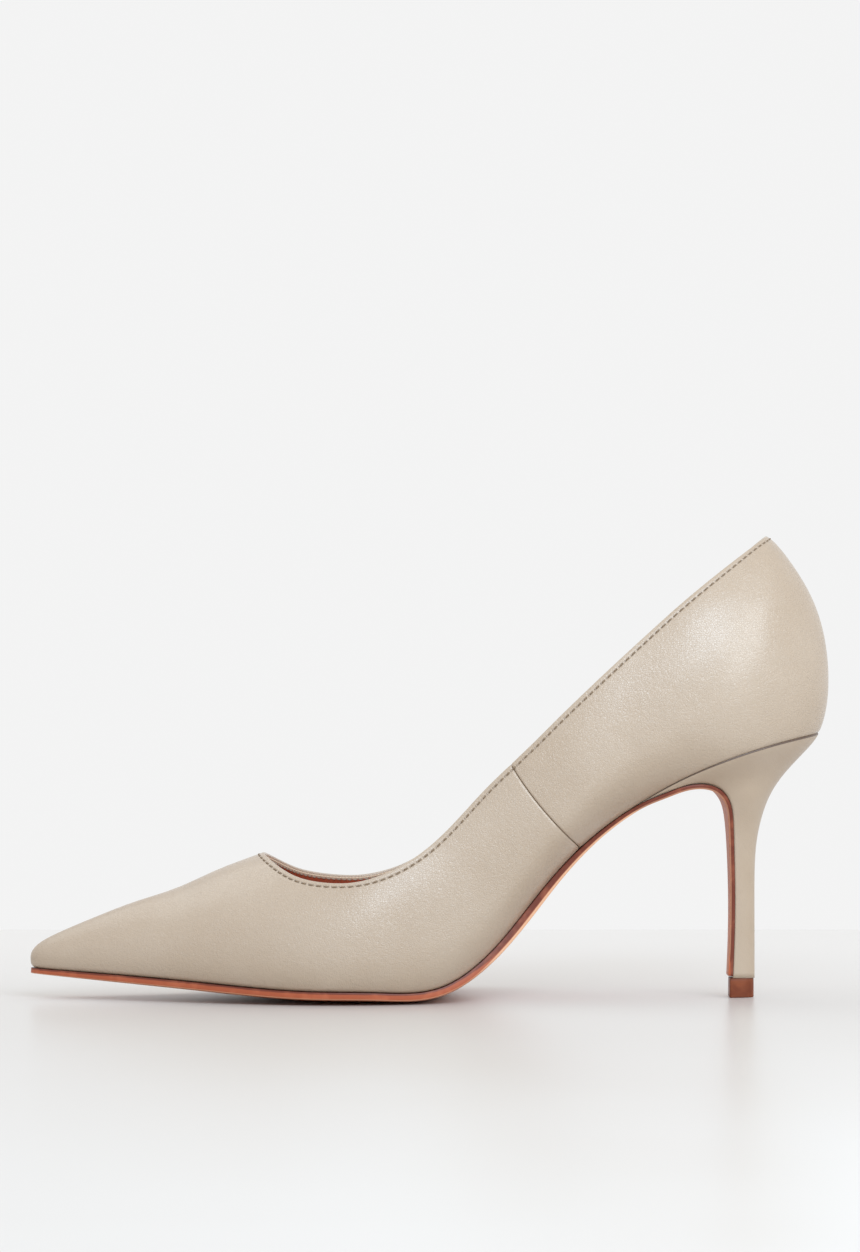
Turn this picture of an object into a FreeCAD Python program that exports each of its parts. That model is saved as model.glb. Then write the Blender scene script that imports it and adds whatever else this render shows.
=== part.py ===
import FreeCAD, Part
import math
import os

# A pointed high heel court shoe for the right foot, in millimetres.
# +Z is up, the toe points along -X, the inner (medial) side faces -Y and the outer side +Y.
# The origin is at the floor, under the middle of the shoe's bounding box.

# ---- overall form ----
shoe_length = 240.6      # toe tip to the backmost point of the counter
heel_height = 79.6       # floor to the feather line at the back of the seat
toe_spring = 5.5         # how much the feather line rises from the ball to the toe
ball_inner = 33.3        # half width of the sole at the ball, inner side
ball_outer = 37.0        # and outer side
waist_inner = 16.0       # half width of the sole at its narrowest
waist_outer = 18.5
seat_half_width = 24.0   # half width of the heel seat
wall_overhang = 3.2      # how far the upper bulges out past the sole at the ball
waist_overhang = 14.3    # and at the waist, where the sole is narrow
seat_overhang = 5.3      # and at the heel
back_overhang = 3.1      # and at the back of the heel
throat_height = 39.2     # height of the throat above the feather line
back_height = 63.1       # height of the back of the topline above the feather line
outer_dip = 3.6          # how much lower the topline is on the outer side

# ---- thicknesses ----
leather_t = 1.1
stiffener_t = 0.55
lining_t = 0.75
glue_gap = 0.05          # the glue line between neighbouring layers
sole_center_t = 3.75     # outsole at the middle of the tread
sole_waist_t = 1.9
flap_t = 1.5             # the outsole's flap down the heel breast
sole_lip = 0.3           # how far the sole's edge stands out past the feather line
insole_t = 1.5
shank_board_t = 1.2
steel_t = 1.0
sock_t = 0.8
foam_t = 1.6

# ---- heel ----
stem_half_width = 4.4
cover_t = 0.7
lift_height = 5.9
lift_inset = 0.25
tube_r = 1.8
tube_bore_r = 1.15
tube_length = 48.0
pin_clearance = 0.05
pin_length = 13.0
screw_r = 1.9
screw_head_r = 3.8
screw_length = 20.0
nail_r = 0.7
nail_head_r = 1.6
nail_length = 7.5
fastener_clearance = 0.05

# ---- stitching ----
stitch_pitch = 2.45
stitch_length = 1.5
stitch_r = 0.22

toe_x = -shoe_length / 2
half_turn = math.pi


class Curve:
    """A natural cubic spline through hand-chosen (position, value) points."""

    def __init__(self, points):
        self.x = [p[0] for p in points]
        self.y = [p[1] for p in points]
        n = len(points)
        h = [self.x[i + 1] - self.x[i] for i in range(n - 1)]
        c, d = [0.0] * n, [0.0] * n
        for i in range(1, n - 1):
            rise = (self.y[i + 1] - self.y[i]) / h[i] - (self.y[i] - self.y[i - 1]) / h[i - 1]
            pivot = 2 * (h[i] + h[i - 1]) - h[i - 1] * c[i - 1]
            c[i] = h[i] / pivot
            d[i] = (6 * rise - h[i - 1] * d[i - 1]) / pivot
        self.m = [0.0] * n
        for i in range(n - 2, 0, -1):
            self.m[i] = d[i] - c[i] * self.m[i + 1]

    def __call__(self, x):
        xs, ys, m = self.x, self.y, self.m
        i = 0
        while i < len(xs) - 2 and x > xs[i + 1]:
            i += 1
        h = xs[i + 1] - xs[i]
        a, b = (xs[i + 1] - x) / h, (x - xs[i]) / h
        bend = (a ** 3 - a) * m[i] + (b ** 3 - b) * m[i + 1]
        return a * ys[i] + b * ys[i + 1] + bend * h * h / 6


class Ring:
    """A closed outline that runs from the toe to the back: x follows the cosine of an angle."""

    def __init__(self, front, back):
        self.front, self.back = front, back

    def x(self, angle):
        return self.front + (self.back - self.front) * (1 - math.cos(angle)) / 2

    def angle(self, x):
        share = (x - self.front) / (self.back - self.front)
        return math.acos(max(-1.0, min(1.0, 1 - 2 * share)))

    def widths(self, points):
        """A half width along the ring, zero at both ends, from (share of length, width) points."""
        ends = [(0.0, 0.0)] + [(self.angle(along(s)), w) for s, w in points] + [(half_turn, 0.0)]
        return Curve(ends)


def along(share):
    """The x of a point a given share of the way from toe to back."""
    return toe_x + share * shoe_length


# ---- the last's lines ----
throat_share = 0.2925    # where the topline's front lies, as a share of the length
back_share = 0.921       # and its back
feather_ring = Ring(toe_x + 0.5, toe_x + shoe_length - back_overhang)
bulge_ring = Ring(toe_x, toe_x + shoe_length)
topline_ring = Ring(along(throat_share), along(back_share))

climb = heel_height - sole_center_t
feather_z = Curve([
    (along(0.002), sole_center_t + toe_spring),
    (along(0.21), sole_center_t + 0.48 * toe_spring),
    (along(0.35), sole_center_t + 0.08 * toe_spring),
    (along(0.44), sole_center_t),
    (along(0.515), sole_center_t + 0.017 * climb),
    (along(0.585), sole_center_t + 0.181 * climb),
    (along(0.65), sole_center_t + 0.433 * climb),
    (along(0.716), sole_center_t + 0.634 * climb),
    (along(0.762), sole_center_t + 0.735 * climb),
    (along(0.808), sole_center_t + 0.8195 * climb),
    (along(0.855), sole_center_t + 0.8866 * climb),
    (along(0.901), sole_center_t + 0.937 * climb),
    (along(0.943), sole_center_t + 0.972 * climb),
    (along(0.987), heel_height),
])

centre_y = Curve([(along(0), -4.0), (along(0.3), -6.0), (along(0.58), -2.0),
                  (along(0.75), 0.0), (along(1), 0.0)])

feather_inner = feather_ring.widths([
    (0.01, 0.08 * ball_inner), (0.035, 0.155 * ball_inner), (0.092, 0.285 * ball_inner),
    (0.175, 0.475 * ball_inner), (0.266, 0.675 * ball_inner),
    (0.35, 0.825 * ball_inner), (0.437, 0.84 * ball_inner), (0.541, 0.66 * ball_inner),
    (0.625, 1.03 * waist_inner), (0.69, waist_inner), (0.75, 1.12 * waist_inner),
    (0.854, seat_half_width), (0.937, 0.75 * seat_half_width)])
feather_outer = feather_ring.widths([
    (0.01, 0.072 * ball_outer), (0.035, 0.14 * ball_outer), (0.092, 0.27 * ball_outer),
    (0.175, 0.5 * ball_outer), (0.266, 0.81 * ball_outer),
    (0.35, 1.04 * ball_outer), (0.437, 1.135 * ball_outer), (0.541, 0.93 * ball_outer),
    (0.625, 1.25 * waist_outer), (0.69, 1.03 * waist_outer), (0.75, 1.05 * waist_outer),
    (0.854, seat_half_width), (0.937, 0.75 * seat_half_width)])


def overhang(share):
    """How far the widest line of the upper stands out past the feather line."""
    return Curve([(0.0, 0.8), (0.1, 0.45 * wall_overhang), (0.35, wall_overhang),
                  (0.46, 1.25 * wall_overhang), (0.57, 0.62 * waist_overhang),
                  (0.66, waist_overhang), (0.75, 0.85 * waist_overhang),
                  (0.854, seat_overhang), (0.95, back_overhang), (1.0, back_overhang)])(share)


def bulge_widths(feather):
    shares = (0.01, 0.035, 0.092, 0.175, 0.266, 0.35, 0.437, 0.541, 0.625, 0.69, 0.75, 0.854, 0.93)
    return bulge_ring.widths([
        (s, feather(feather_ring.angle(along(s))) + overhang(s)) for s in shares])


bulge_inner = bulge_widths(feather_inner)
bulge_outer = bulge_widths(feather_outer)
# height of the widest line above the feather line
bulge_rise = Curve([(along(0), 3.1), (along(0.1), 4.3), (along(0.35), 9.6), (along(0.46), 12.5),
                    (along(0.55), 16.5), (along(0.7), 16.6), (along(0.85), 17.6), (along(1), 15.4)])
# height of the ridge, or of the closed instep that the topline is cut from, above the widest line
ridge_rise = bulge_ring.widths([
    (0.009, 3.8), (0.036, 7.5), (0.086, 12.6), (0.137, 17.1), (0.187, 20.9), (0.237, 26.1),
    (throat_share, throat_height - bulge_rise(along(throat_share))), (0.39, 41.5),
    (0.458, 51.0), (0.535, 60.5), (0.61, 65.0), (0.687, 59.5), (0.758, 55.6), (0.833, 51.8),
    (0.884, 48.3), (back_share, back_height - bulge_rise(along(back_share))),
    (0.945, 39.6), (0.968, 30.8), (0.984, 22.6)])
peak = Curve([(along(0), 0.5), (along(0.3), 0.5), (along(0.5), 0.15), (along(0.65), 0.0),
              (along(1), 0.0)])

# height of the topline above the feather line, from the throat back
topline_rise = Curve([
    (along(throat_share), throat_height), (along(0.327), 34.4), (along(0.365), 32.4),
    (along(0.41), 32.7), (along(0.455), 36.6), (along(0.51), 44.6), (along(0.57), 50.6),
    (along(0.63), 47.6), (along(0.69), 45.9), (along(0.76), 48.9), (along(0.83), 54.4),
    (along(0.885), 59.5), (along(back_share), back_height)])
topline_dip = Curve([(along(0.29), 0.0), (along(0.36), 0.4), (along(0.5), outer_dip),
                     (along(0.66), outer_dip), (along(0.8), 0.85 * outer_dip),
                     (along(0.88), 0.5 * outer_dip),
                     (along(back_share), 0.0)])

# angles that pair a feather point with its widest point and its topline point
bulge_angle = Curve([(0, 0), (1.31, 1.29), (1.97, 1.896), (2.39, 2.29), (2.8, 2.76),
                     (half_turn, half_turn)])
topline_angle = Curve([(0, 0), (0.7, 0.24), (1.31, 0.66), (1.97, 1.545), (2.39, 2.12),
                       (2.8, 2.68), (half_turn, half_turn)])
seam_angle = 1.971       # where the quarter is joined to the vamp


def unit(x, y, z):
    size = math.sqrt(x * x + y * y + z * z)
    return FreeCAD.Vector(x / size, y / size, z / size)


def side_and_angle(a):
    """A point's side (+1 outer, -1 inner) and its angle from the toe, for any angle round the shoe."""
    a = (a + half_turn) % (2 * half_turn) - half_turn
    return (1 if a >= 0 else -1), abs(a)


def half_width(pair, side, angle):
    return pair[1](angle) if side > 0 else pair[0](angle)


def feather_xy(a):
    side, angle = side_and_angle(a)
    x = feather_ring.x(angle)
    return x, centre_y(x) + side * half_width((feather_inner, feather_outer), side, angle)


def bulge_half(side, x):
    return half_width((bulge_inner, bulge_outer), side, bulge_ring.angle(x))


def feather_half(side, x):
    return half_width((feather_inner, feather_outer), side, feather_ring.angle(x))


def bulge_z(x):
    return feather_z(x) + bulge_rise(x)


def lean_at(side, x, z):
    """Share of the half width at height z on the closed last, and its round parameter."""
    up = max(0.0, min(1.0, (z - bulge_z(x)) / ridge_rise(bulge_ring.angle(x))))
    round_share = math.sqrt(1 - up * up)
    q = peak(x)
    return round_share / math.sqrt(1 + q * (1 - round_share ** 2)), round_share


def topline_point(a):
    side, angle = side_and_angle(a)
    x = topline_ring.x(topline_angle(angle))
    z = feather_z(x) + topline_rise(x)
    if side > 0:
        z -= topline_dip(x)
    share, round_share = lean_at(side, x, z)
    return x, centre_y(x) + side * bulge_half(side, x) * share, round_share


def waist_weight(angle):
    """1 along the waist, where the walls follow the outline, and 0 round the toe and the back."""
    rise = max(0.0, min(1.0, (angle - 1.15) / 0.55))
    fall = max(0.0, min(1.0, (2.95 - angle) / 0.55))
    return (rise * rise * (3 - 2 * rise)) * (fall * fall * (3 - 2 * fall))


wall_split = 0.34        # share of the wall's parameter below the widest line
tuck = 0.55              # angle at which the wall starts from the feather line


def outer_point(a, v):
    """The upper's outer surface: v runs from the feather line (0) to the topline (1)."""
    side, angle = side_and_angle(a)
    w = waist_weight(angle)
    fx, fy = feather_xy(a)
    mid = bulge_angle(angle)
    mx = bulge_ring.x(mid)
    my = centre_y(mx) + side * half_width((bulge_inner, bulge_outer), side, mid)
    if v < wall_split:
        turn = tuck + (half_turn / 2 - tuck) * v / wall_split
        out = (math.sin(turn) - math.sin(tuck)) / (1 - math.sin(tuck))
        rise = (math.cos(tuck) - math.cos(turn)) / math.cos(tuck)
        even = v / wall_split
        x = (1 - w) * (fx + (mx - fx) * out) + w * (fx + (mx - fx) * even)
        base = centre_y(x) + side * feather_half(side, x)
        y = (1 - w) * (fy + (my - fy) * out)
        y += w * (base + side * (bulge_half(side, x) - feather_half(side, x)) * out)
        low = (1 - w) * feather_z(fx) + w * feather_z(x)
        high = (1 - w) * bulge_z(mx) + w * bulge_z(x)
        return FreeCAD.Vector(x, y, low + (high - low) * rise)
    tx, ty, round_share = topline_point(a)
    swing = math.acos(round_share)
    even = (v - wall_split) / (1 - wall_split)
    eased = (1 - math.cos(even * swing)) / (1 - round_share)
    line_x = mx + (tx - mx) * eased
    line_y = my + (ty - my) * eased
    line_reach = max(1e-6, bulge_half(side, line_x))
    line_share = min(1.0, max(0.0, side * (line_y - centre_y(line_x)) / line_reach))
    x = (1 - w) * line_x + w * (mx + (tx - mx) * even)
    q = peak(x)
    turned = math.cos(even * swing)
    share = (1 - w) * line_share + w * turned / math.sqrt(1 + q * (1 - turned ** 2))
    y = centre_y(x) + side * bulge_half(side, x) * share
    up = math.sqrt(max(0.0, 1 - share ** 2 * (1 + q) / (1 + q * share ** 2)))
    return FreeCAD.Vector(x, y, bulge_z(x) + ridge_rise(bulge_ring.angle(x)) * up)


# ---- layered sheets of the upper ----
def wall_normal(a, v):
    """The unit normal of the upper's outer surface, pointing into the shoe."""
    da, dv = 0.004, 0.004
    v = max(0.003, min(0.997, v))
    along_a = outer_point(a + da, v) - outer_point(a - da, v)
    along_v = outer_point(a, v + dv / 2) - outer_point(a, v - dv / 2)
    return along_a.cross(along_v).normalize()


def inward(point, normal, depth):
    """Moves a point by the depth along the normal, easing off where the toe is very narrow."""
    beside = abs(point.y - centre_y(point.x))
    ease = beside / (beside + 0.7)
    return FreeCAD.Vector(point.x + depth * normal.x, point.y + depth * normal.y * ease,
                          point.z + depth * normal.z)


def bottom_up(x):
    slope = (feather_z(x + 0.05) - feather_z(x - 0.05)) / 0.1
    return unit(-slope, 0, 1)


def climb_wall(a, length):
    """The wall parameter reached after climbing a length up from the feather line."""
    v, gone = 0.0, 0.0
    last = outer_point(a, 0)
    while gone < length and v < 0.6:
        v += 0.01
        point = outer_point(a, v)
        gone += (point - last).Length
        last = point
    return v - 0.01 * (gone - length) / max(1e-6, (point - outer_point(a, v - 0.01)).Length)


margin_share = 0.62      # the turned-under margin ends at this share of the half width
margin_ring = Ring(toe_x + 10.5, toe_x + shoe_length - back_overhang - 10.0)


def margin_xy(a):
    side, angle = side_and_angle(a)
    x = margin_ring.x(angle)
    reach = margin_share * half_width((feather_inner, feather_outer), side, angle)
    return x, centre_y(x) + side * reach


def layer_profile(a, depth, v0, v1, margin):
    """Points of one layer's surface at one place round the shoe, from the bottom to the top."""
    if not margin:
        spots = [v0 + (v1 - v0) * k / 12 for k in range(13)]
        return [inward(outer_point(a, v), wall_normal(a, v), depth) for v in spots]
    fx, fy = feather_xy(a)
    foot = FreeCAD.Vector(fx, fy, feather_z(fx))
    up = bottom_up(fx)
    into = wall_normal(a, 0.06)
    mitre = (up + into) * (1 / (1 + up.dot(into)))
    v_corner = climb_wall(a, 1.5 + depth * math.sqrt(max(0.0, mitre.dot(mitre) - 1)))
    corner = inward(foot, mitre, depth)
    gx, gy = margin_xy(a)
    edge = FreeCAD.Vector(gx, gy, feather_z(gx)) + bottom_up(gx) * depth
    top = inward(outer_point(a, v_corner), wall_normal(a, v_corner), depth)
    run = edge - corner
    near = corner + run * (1.5 / run.Length)
    points = []
    for k in range(4):
        x = edge.x + (near.x - edge.x) * k / 4
        y = edge.y + (near.y - edge.y) * k / 4
        lift = near.z - feather_z(near.x)
        even = edge.z - feather_z(edge.x)
        points.append(FreeCAD.Vector(x, y, feather_z(x) + even + (lift - even) * k / 4))
    for k in range(5):
        t = k / 4
        points.append(near * (1 - t) ** 2 + corner * (2 * t * (1 - t)) + top * t ** 2)
    for k in range(1, 15):
        v = v_corner + (v1 - v_corner) * (k / 14) ** 1.25
        points.append(inward(outer_point(a, v), wall_normal(a, v), depth))
    return points


def clamped(count):
    """Knots and multiplicities of a clamped cubic spline with this many poles."""
    knots = [float(k) for k in range(count - 2)]
    return knots, [4] + [1] * (count - 4) + [4]


def skin(grid):
    """A smooth surface that is drawn towards a grid of points without ever overshooting them."""
    across, across_mults = clamped(len(grid))
    down, down_mults = clamped(len(grid[0]))
    surface = Part.BSplineSurface()
    surface.buildFromPolesMultsKnots(grid, across_mults, down_mults, across, down,
                                     False, False, 3, 3)
    return surface


def between(first, second):
    """A solid between two surfaces that share their parameters."""
    faces = [first.toShape(), second.toShape()]
    u0, u1, v0, v1 = first.bounds()
    p0, p1, q0, q1 = second.bounds()
    pairs = [(first.uIso(u0), second.uIso(p0)), (first.uIso(u1), second.uIso(p1)),
             (first.vIso(v0), second.vIso(q0)), (first.vIso(v1), second.vIso(q1))]
    for one, other in pairs:
        faces.append(Part.makeRuledSurface(one.toShape(), other.toShape()))
    shell = Part.makeShell(faces)
    shell.sewShape()
    solid = Part.makeSolid(shell)
    if solid.Volume < 0:
        shell.reverse()
        solid = Part.makeSolid(shell)
    return solid


def sheet(a0, a1, count, near_depth, far_depth, v0, v1, margin=True):
    """One layer of the upper between two angles, between two depths below the outer surface."""
    angles = [a0 + (a1 - a0) * i / (count - 1) for i in range(count)]
    grids = []
    for depth in (near_depth, far_depth):
        grids.append([layer_profile(a, depth, v0, v1, margin) for a in angles])
    return between(skin(grids[0]), skin(grids[1]))


# ---- flat-profiled bottom parts ----
def side_point(x, height):
    """A point in the side view, a height above the feather line measured square to it."""
    up = bottom_up(x)
    return FreeCAD.Vector(x + height * up.x, 0, feather_z(x) + height * up.z)


def spline_edge(points, closed=False):
    curve = Part.BSplineCurve()
    curve.interpolate(Points=points, PeriodicFlag=closed)
    return curve.toShape()


def slab(edges, reach=70.0):
    """A side-view outline stretched across the shoe."""
    face = Part.Face(Part.Wire(Part.__sortEdges__(edges)))
    face.translate(FreeCAD.Vector(0, -reach, 0))
    return face.extrude(FreeCAD.Vector(0, 2 * reach, 0))


def strip(x0, x1, low, high, steps=48):
    """A strip that follows the feather line; low and high give heights above it along x."""
    spots = [x0 + (x1 - x0) * i / steps for i in range(steps + 1)]
    under = [side_point(x, low(x)) for x in spots]
    over = [side_point(x, high(x)) for x in spots]
    return slab([spline_edge(under), spline_edge(over), Part.makeLine(under[0], over[0]),
                 Part.makeLine(under[-1], over[-1])])


def column(points, z0=-20.0, z1=160.0):
    """A plan outline stretched upwards."""
    flat = [FreeCAD.Vector(p.x, p.y, z0) for p in points]
    face = Part.Face(Part.Wire([spline_edge(flat, True)]))
    return face.extrude(FreeCAD.Vector(0, 0, z1 - z0))


def plan_outline(at, inset, count=96):
    """A closed plan outline, moved inwards by the inset."""
    points = []
    for i in range(count):
        a = -half_turn + 2 * half_turn * i / count
        x, y = at(a)
        x0, y0 = at(a - 0.004)
        x1, y1 = at(a + 0.004)
        inner = unit(y1 - y0, -(x1 - x0), 0)
        ease = 1.0
        if inset > 0:
            beside = abs(y - centre_y(x))
            ease = beside / (beside + 0.5 * inset)
        points.append(FreeCAD.Vector(x + inset * inner.x, y + inset * inner.y * ease, 0))
    return points


def flat(height):
    return lambda x: height


# ---- heel ----
stem_front = toe_x + 0.8730 * shoe_length
stem_back = toe_x + 0.9073 * shoe_length
stem_x = (stem_front + stem_back) / 2
seat_z = feather_z(stem_x)
heel_front_x = toe_x + 0.735 * shoe_length
seat_angle = feather_ring.angle(heel_front_x)

# how far the back and the sides flare out from the stem, against the depth below the seat
back_flare = Curve([(-3, 21.9), (0, 19.4), (1.2, 18.5), (3.9, 15.1), (7.2, 10.6), (10.9, 6.8),
                    (14.3, 4.5), (18.7, 2.6), (23, 1.4), (27.4, 0.6), (33, 0.15), (45, 0.0),
                    (90, 0.0)])
side_flare = Curve([(-3, 21.0), (0, 19.7), (2.5, 17.9), (5, 15.8), (10, 11.6), (15, 8.4),
                    (20, 6.1), (28, 3.3), (36, 1.7), (46, 0.6), (60, 0.1), (90, 0.0)])
front_reach = Curve([(-3, heel_front_x - 1), (0, heel_front_x), (3, heel_front_x + 0.5),
                     (6, heel_front_x + 5), (12, stem_front - 9), (20, stem_front - 5),
                     (30, stem_front - 4), (90, stem_front - 4)])
tilt_share = Curve([(-3, 1.0), (0, 1.0), (6, 0.7), (14, 0.38), (24, 0.1), (32, 0.0), (90, 0.0)])
round_share_at = Curve([(-3, 0.0), (0, 0.0), (3, 0.08), (10, 0.55), (20, 0.95), (26, 1.0),
                        (90, 1.0)])
heel_steps = 12


def heel_side(depth, side, inset, longer):
    """Points of one side of the heel at a depth below the seat, from the front to the back."""
    back = stem_back + back_flare(depth) - inset
    front = front_reach(depth) - longer
    half = stem_half_width + side_flare(depth)
    blend = round_share_at(depth)
    row = []
    for i in range(heel_steps + 1):
        c = 1 - i / heel_steps
        angle = half_turn - (half_turn - seat_angle) * c
        share = (feather_ring.x(angle) - heel_front_x) / (feather_ring.back - heel_front_x)
        wide = half_width((feather_inner, feather_outer), side, angle) / seat_half_width
        share = (1 - blend) * share + blend * math.cos(c * half_turn / 2)
        wide = (1 - blend) * wide + blend * math.sin(c * half_turn / 2) ** 0.85
        x = front + (back - front) * share
        y = centre_y(x) * (1 - blend) + side * max(0.12, half * wide - inset * min(1.0, 4 * c))
        z = seat_z - depth + (feather_z(x) - seat_z) * tilt_share(depth)
        row.append(FreeCAD.Vector(x, y, z))
    return row


heel_depths = (-2.5, -1.2, 0, 1.2, 2.5, 4, 6, 8.5, 11.5, 15, 19, 24, 30, 37, 46, 58, seat_z + 3)


def heel_form(inset, longer=0.0):
    """The heel's whole outer form, longer at the front, top and bottom than the heel itself."""
    depths = [heel_depths[0] - longer] + list(heel_depths[1:-1]) + [heel_depths[-1] + longer]
    inner_side = skin([heel_side(d, -1, inset, longer) for d in depths])
    outer_side = skin([heel_side(d, 1, inset, longer) for d in depths])
    return between(inner_side, outer_side)


# ---- the outsole's underside and breast flap ----
def sole_edge_t(x):
    """Thickness of the sole at its edge."""
    return Curve([(along(0), 1.55), (along(0.1), 1.95), (along(0.4), 2.15), (along(0.5), 2.2),
                  (along(0.56), 1.28 * sole_waist_t), (along(0.62), 1.45 * sole_waist_t),
                  (along(0.665), 1.25 * sole_waist_t), (along(0.7), sole_waist_t),
                  (along(0.752), flap_t + 0.02), (along(0.8), flap_t),
                  (along(1), flap_t)])(x)


tread_flat = 0.35        # how deep the crowned underside is worn or pressed flat on the floor


def underside():
    """The crowned underside of the sole, as a block of everything above it."""
    grid = []
    for i in range(61):
        x = toe_x - 4 + 206.0 * i / 60
        up = bottom_up(x)
        edge = sole_edge_t(x)
        middle = edge + (sole_center_t + tread_flat - edge) * crown(x)
        row = []
        for k in range(-8, 9):
            side = 1 if k > 0 else -1
            reach = max(4.0, feather_half(side, max(feather_ring.front + 1, x)))
            t = abs(k) / 8 * 1.35
            depth = edge + (middle - edge) * (1 - min(1.0, t) ** 2.6)
            row.append(FreeCAD.Vector(x - depth * up.x, centre_y(x) + side * t * reach,
                                      feather_z(x) - depth * up.z))
        grid.append(row)
    low = skin(grid)
    high = skin([[p + FreeCAD.Vector(0, 0, 12) for p in row] for row in grid])
    return between(low, high)


# share of the crown along the sole: full under the ball, gone in the waist
crown = Curve([(along(0), 0.0), (along(0.08), 0.25), (along(0.25), 0.75), (along(0.35), 1.0),
               (along(0.47), 1.0), (along(0.56), 0.55), (along(0.64), 0.1), (along(0.75), 0.0),
               (along(1), 0.0)])

split_x = along(0.764)   # where the flap leaves the feather line for the heel breast


def breast_points(offset):
    """The heel breast in the side view, from the waist down to the stem; offset is forwards."""
    spine = [(split_x - 6.0, None), (split_x, None),
             (stem_front - 19.9, seat_z - 11.9), (stem_front - 13.5, seat_z - 9.6),
             (stem_front - 8.1, seat_z - 9.15), (stem_front - 3.0, seat_z - 10.9),
             (stem_front + 0.2, seat_z - 15.2), (stem_front + 1.2, seat_z - 20.1),
             (stem_front + 1.6, seat_z - 26.2), (stem_front + 2.0, seat_z - 38.4),
             (stem_front + 2.0, seat_z - 53.4), (stem_front + 1.5, lift_height + 0.7)]
    base = [side_point(x, -0.05) if z is None else FreeCAD.Vector(x, 0, z) for x, z in spine]
    base[1] = side_point(split_x, -0.3)
    curve = Part.BSplineCurve()
    curve.interpolate(Points=base)
    first, last = curve.FirstParameter, curve.LastParameter
    points = []
    for i in range(49):
        t = first + (last - first) * i / 48
        p = curve.value(t)
        direction = curve.tangent(t)[0]
        points.append(FreeCAD.Vector(p.x + offset * direction.z, 0, p.z - offset * direction.x))
    return points


# ---- depths of the layers below the leather's outer surface ----
stiff_near = leather_t + glue_gap
stiff_far = stiff_near + stiffener_t
lining_near = stiff_far + glue_gap
lining_far = lining_near + lining_t
seam_gap = 0.0015        # half of the gap between joined pieces, as an angle

parts = {}

# ---- leather ----
parts["vamp"] = sheet(-seam_angle + seam_gap, seam_angle - seam_gap, 61, 0, leather_t, 0, 1)
parts["heel_quarter"] = sheet(seam_angle + seam_gap, 2 * half_turn - seam_angle - seam_gap, 41,
                              0, leather_t, 0, 1)

# ---- stiffeners between leather and lining ----
puff_angle = 1.3
parts["toe_puff"] = sheet(-puff_angle, puff_angle, 41, stiff_near, stiff_far, 0, 0.6)
side_from, side_to = puff_angle + 0.03, seam_angle - 0.02
sides = [sheet(a0, a1, 15, stiff_near, stiff_far, 0, 0.92)
         for a0, a1 in ((side_from, side_to), (-side_to, -side_from))]
parts["vamp_interlining"] = Part.makeCompound(sides)
parts["heel_counter"] = sheet(seam_angle + 0.03, 2 * half_turn - seam_angle - 0.03, 37,
                              stiff_near, stiff_far, 0, 0.8)
parts["topline_tape"] = sheet(-half_turn + 0.01, half_turn - 0.01, 97, stiff_near, stiff_far,
                              0.945, 0.99, margin=False)

# ---- linings, joined a little further forward than the leather ----
lining_seam = seam_angle - 0.12
parts["vamp_lining"] = sheet(-lining_seam + seam_gap, lining_seam - seam_gap, 61,
                             lining_near, lining_far, 0, 0.988)
parts["quarter_lining"] = sheet(lining_seam + seam_gap,
                                2 * half_turn - lining_seam - seam_gap, 43,
                                lining_near, lining_far, 0, 0.988)

# ---- bottom ----
margin_top = lining_far + glue_gap
board_top = margin_top + insole_t
inside = column(plan_outline(feather_xy, lining_far + 1.4))
well = column(plan_outline(margin_xy, 0.5))


def bump(x, x0, x1, ramp):
    """1 between two places along the shoe, easing to 0 over a ramp outside them."""
    t = max(0.0, min(1.0, 1 - (x0 - x) / ramp, 1 - (x - x1) / ramp))
    return t * t * (3 - 2 * t)


front_pad = (along(0.16), along(0.44))
heel_pad = (along(0.83), along(0.92))
pad_ramp = 12.0


def sock_base(x):
    """Height of the sock lining's underside above the feather line."""
    pads = bump(x, front_pad[0], front_pad[1], pad_ramp) + bump(x, heel_pad[0], heel_pad[1], pad_ramp)
    return board_top + glue_gap + foam_t * pads


def pad(x0, x1):
    """A foam pad with skived ends, under the sock lining."""
    reach = pad_ramp * 0.72
    low = flat(board_top + 0.02)
    top = strip(x0 - reach, x1 + reach, low, lambda x: sock_base(x) - 0.04)
    return top.common(column(plan_outline(feather_xy, lining_far + 3.2)))


insole = strip(along(0.012), along(0.975), flat(margin_top), flat(board_top)).common(inside)
sock = strip(along(0.02), along(0.972), sock_base, lambda x: sock_base(x) + sock_t)
parts["sock_lining"] = sock.common(column(plan_outline(feather_xy, lining_far + 1.7)))
parts["forefoot_cushion"] = pad(front_pad[0], front_pad[1])
parts["heel_cushion"] = pad(heel_pad[0], heel_pad[1])

shank_top = margin_top - 0.03
shank_board_low = shank_top - shank_board_t
shank_board = strip(along(0.5), along(0.945), flat(shank_board_low), flat(shank_top)).common(well)
filler = strip(along(0.06), along(0.49), flat(0.03), flat(shank_top)).common(well)
parts["bottom_filler"] = filler

# steel shank: a ribbed strip along the waist, under the shank board
steel_half = 5.5
steel_top = shank_board_low - 0.02
steel_from, steel_to = along(0.52), along(0.86)
steel = strip(steel_from, steel_to, flat(steel_top - steel_t), flat(steel_top))
steel_plan = Part.makeBox(steel_to - steel_from - 1, 2 * steel_half, 200,
                          FreeCAD.Vector(steel_from + 0.5, centre_y(along(0.69)) - steel_half, -20))
steel = steel.common(steel_plan)

# ---- heel ----
above_seat = strip(heel_front_x - 12, along(1.02), flat(-0.05), flat(14), 40)


def breast_block(near, far):
    """The side-view area in front of the heel breast, between two offsets forwards of it."""
    first, second = breast_points(near), breast_points(far)
    return slab([spline_edge(first), spline_edge(second), Part.makeLine(first[0], second[0]),
                 Part.makeLine(first[-1], second[-1])])


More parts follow.
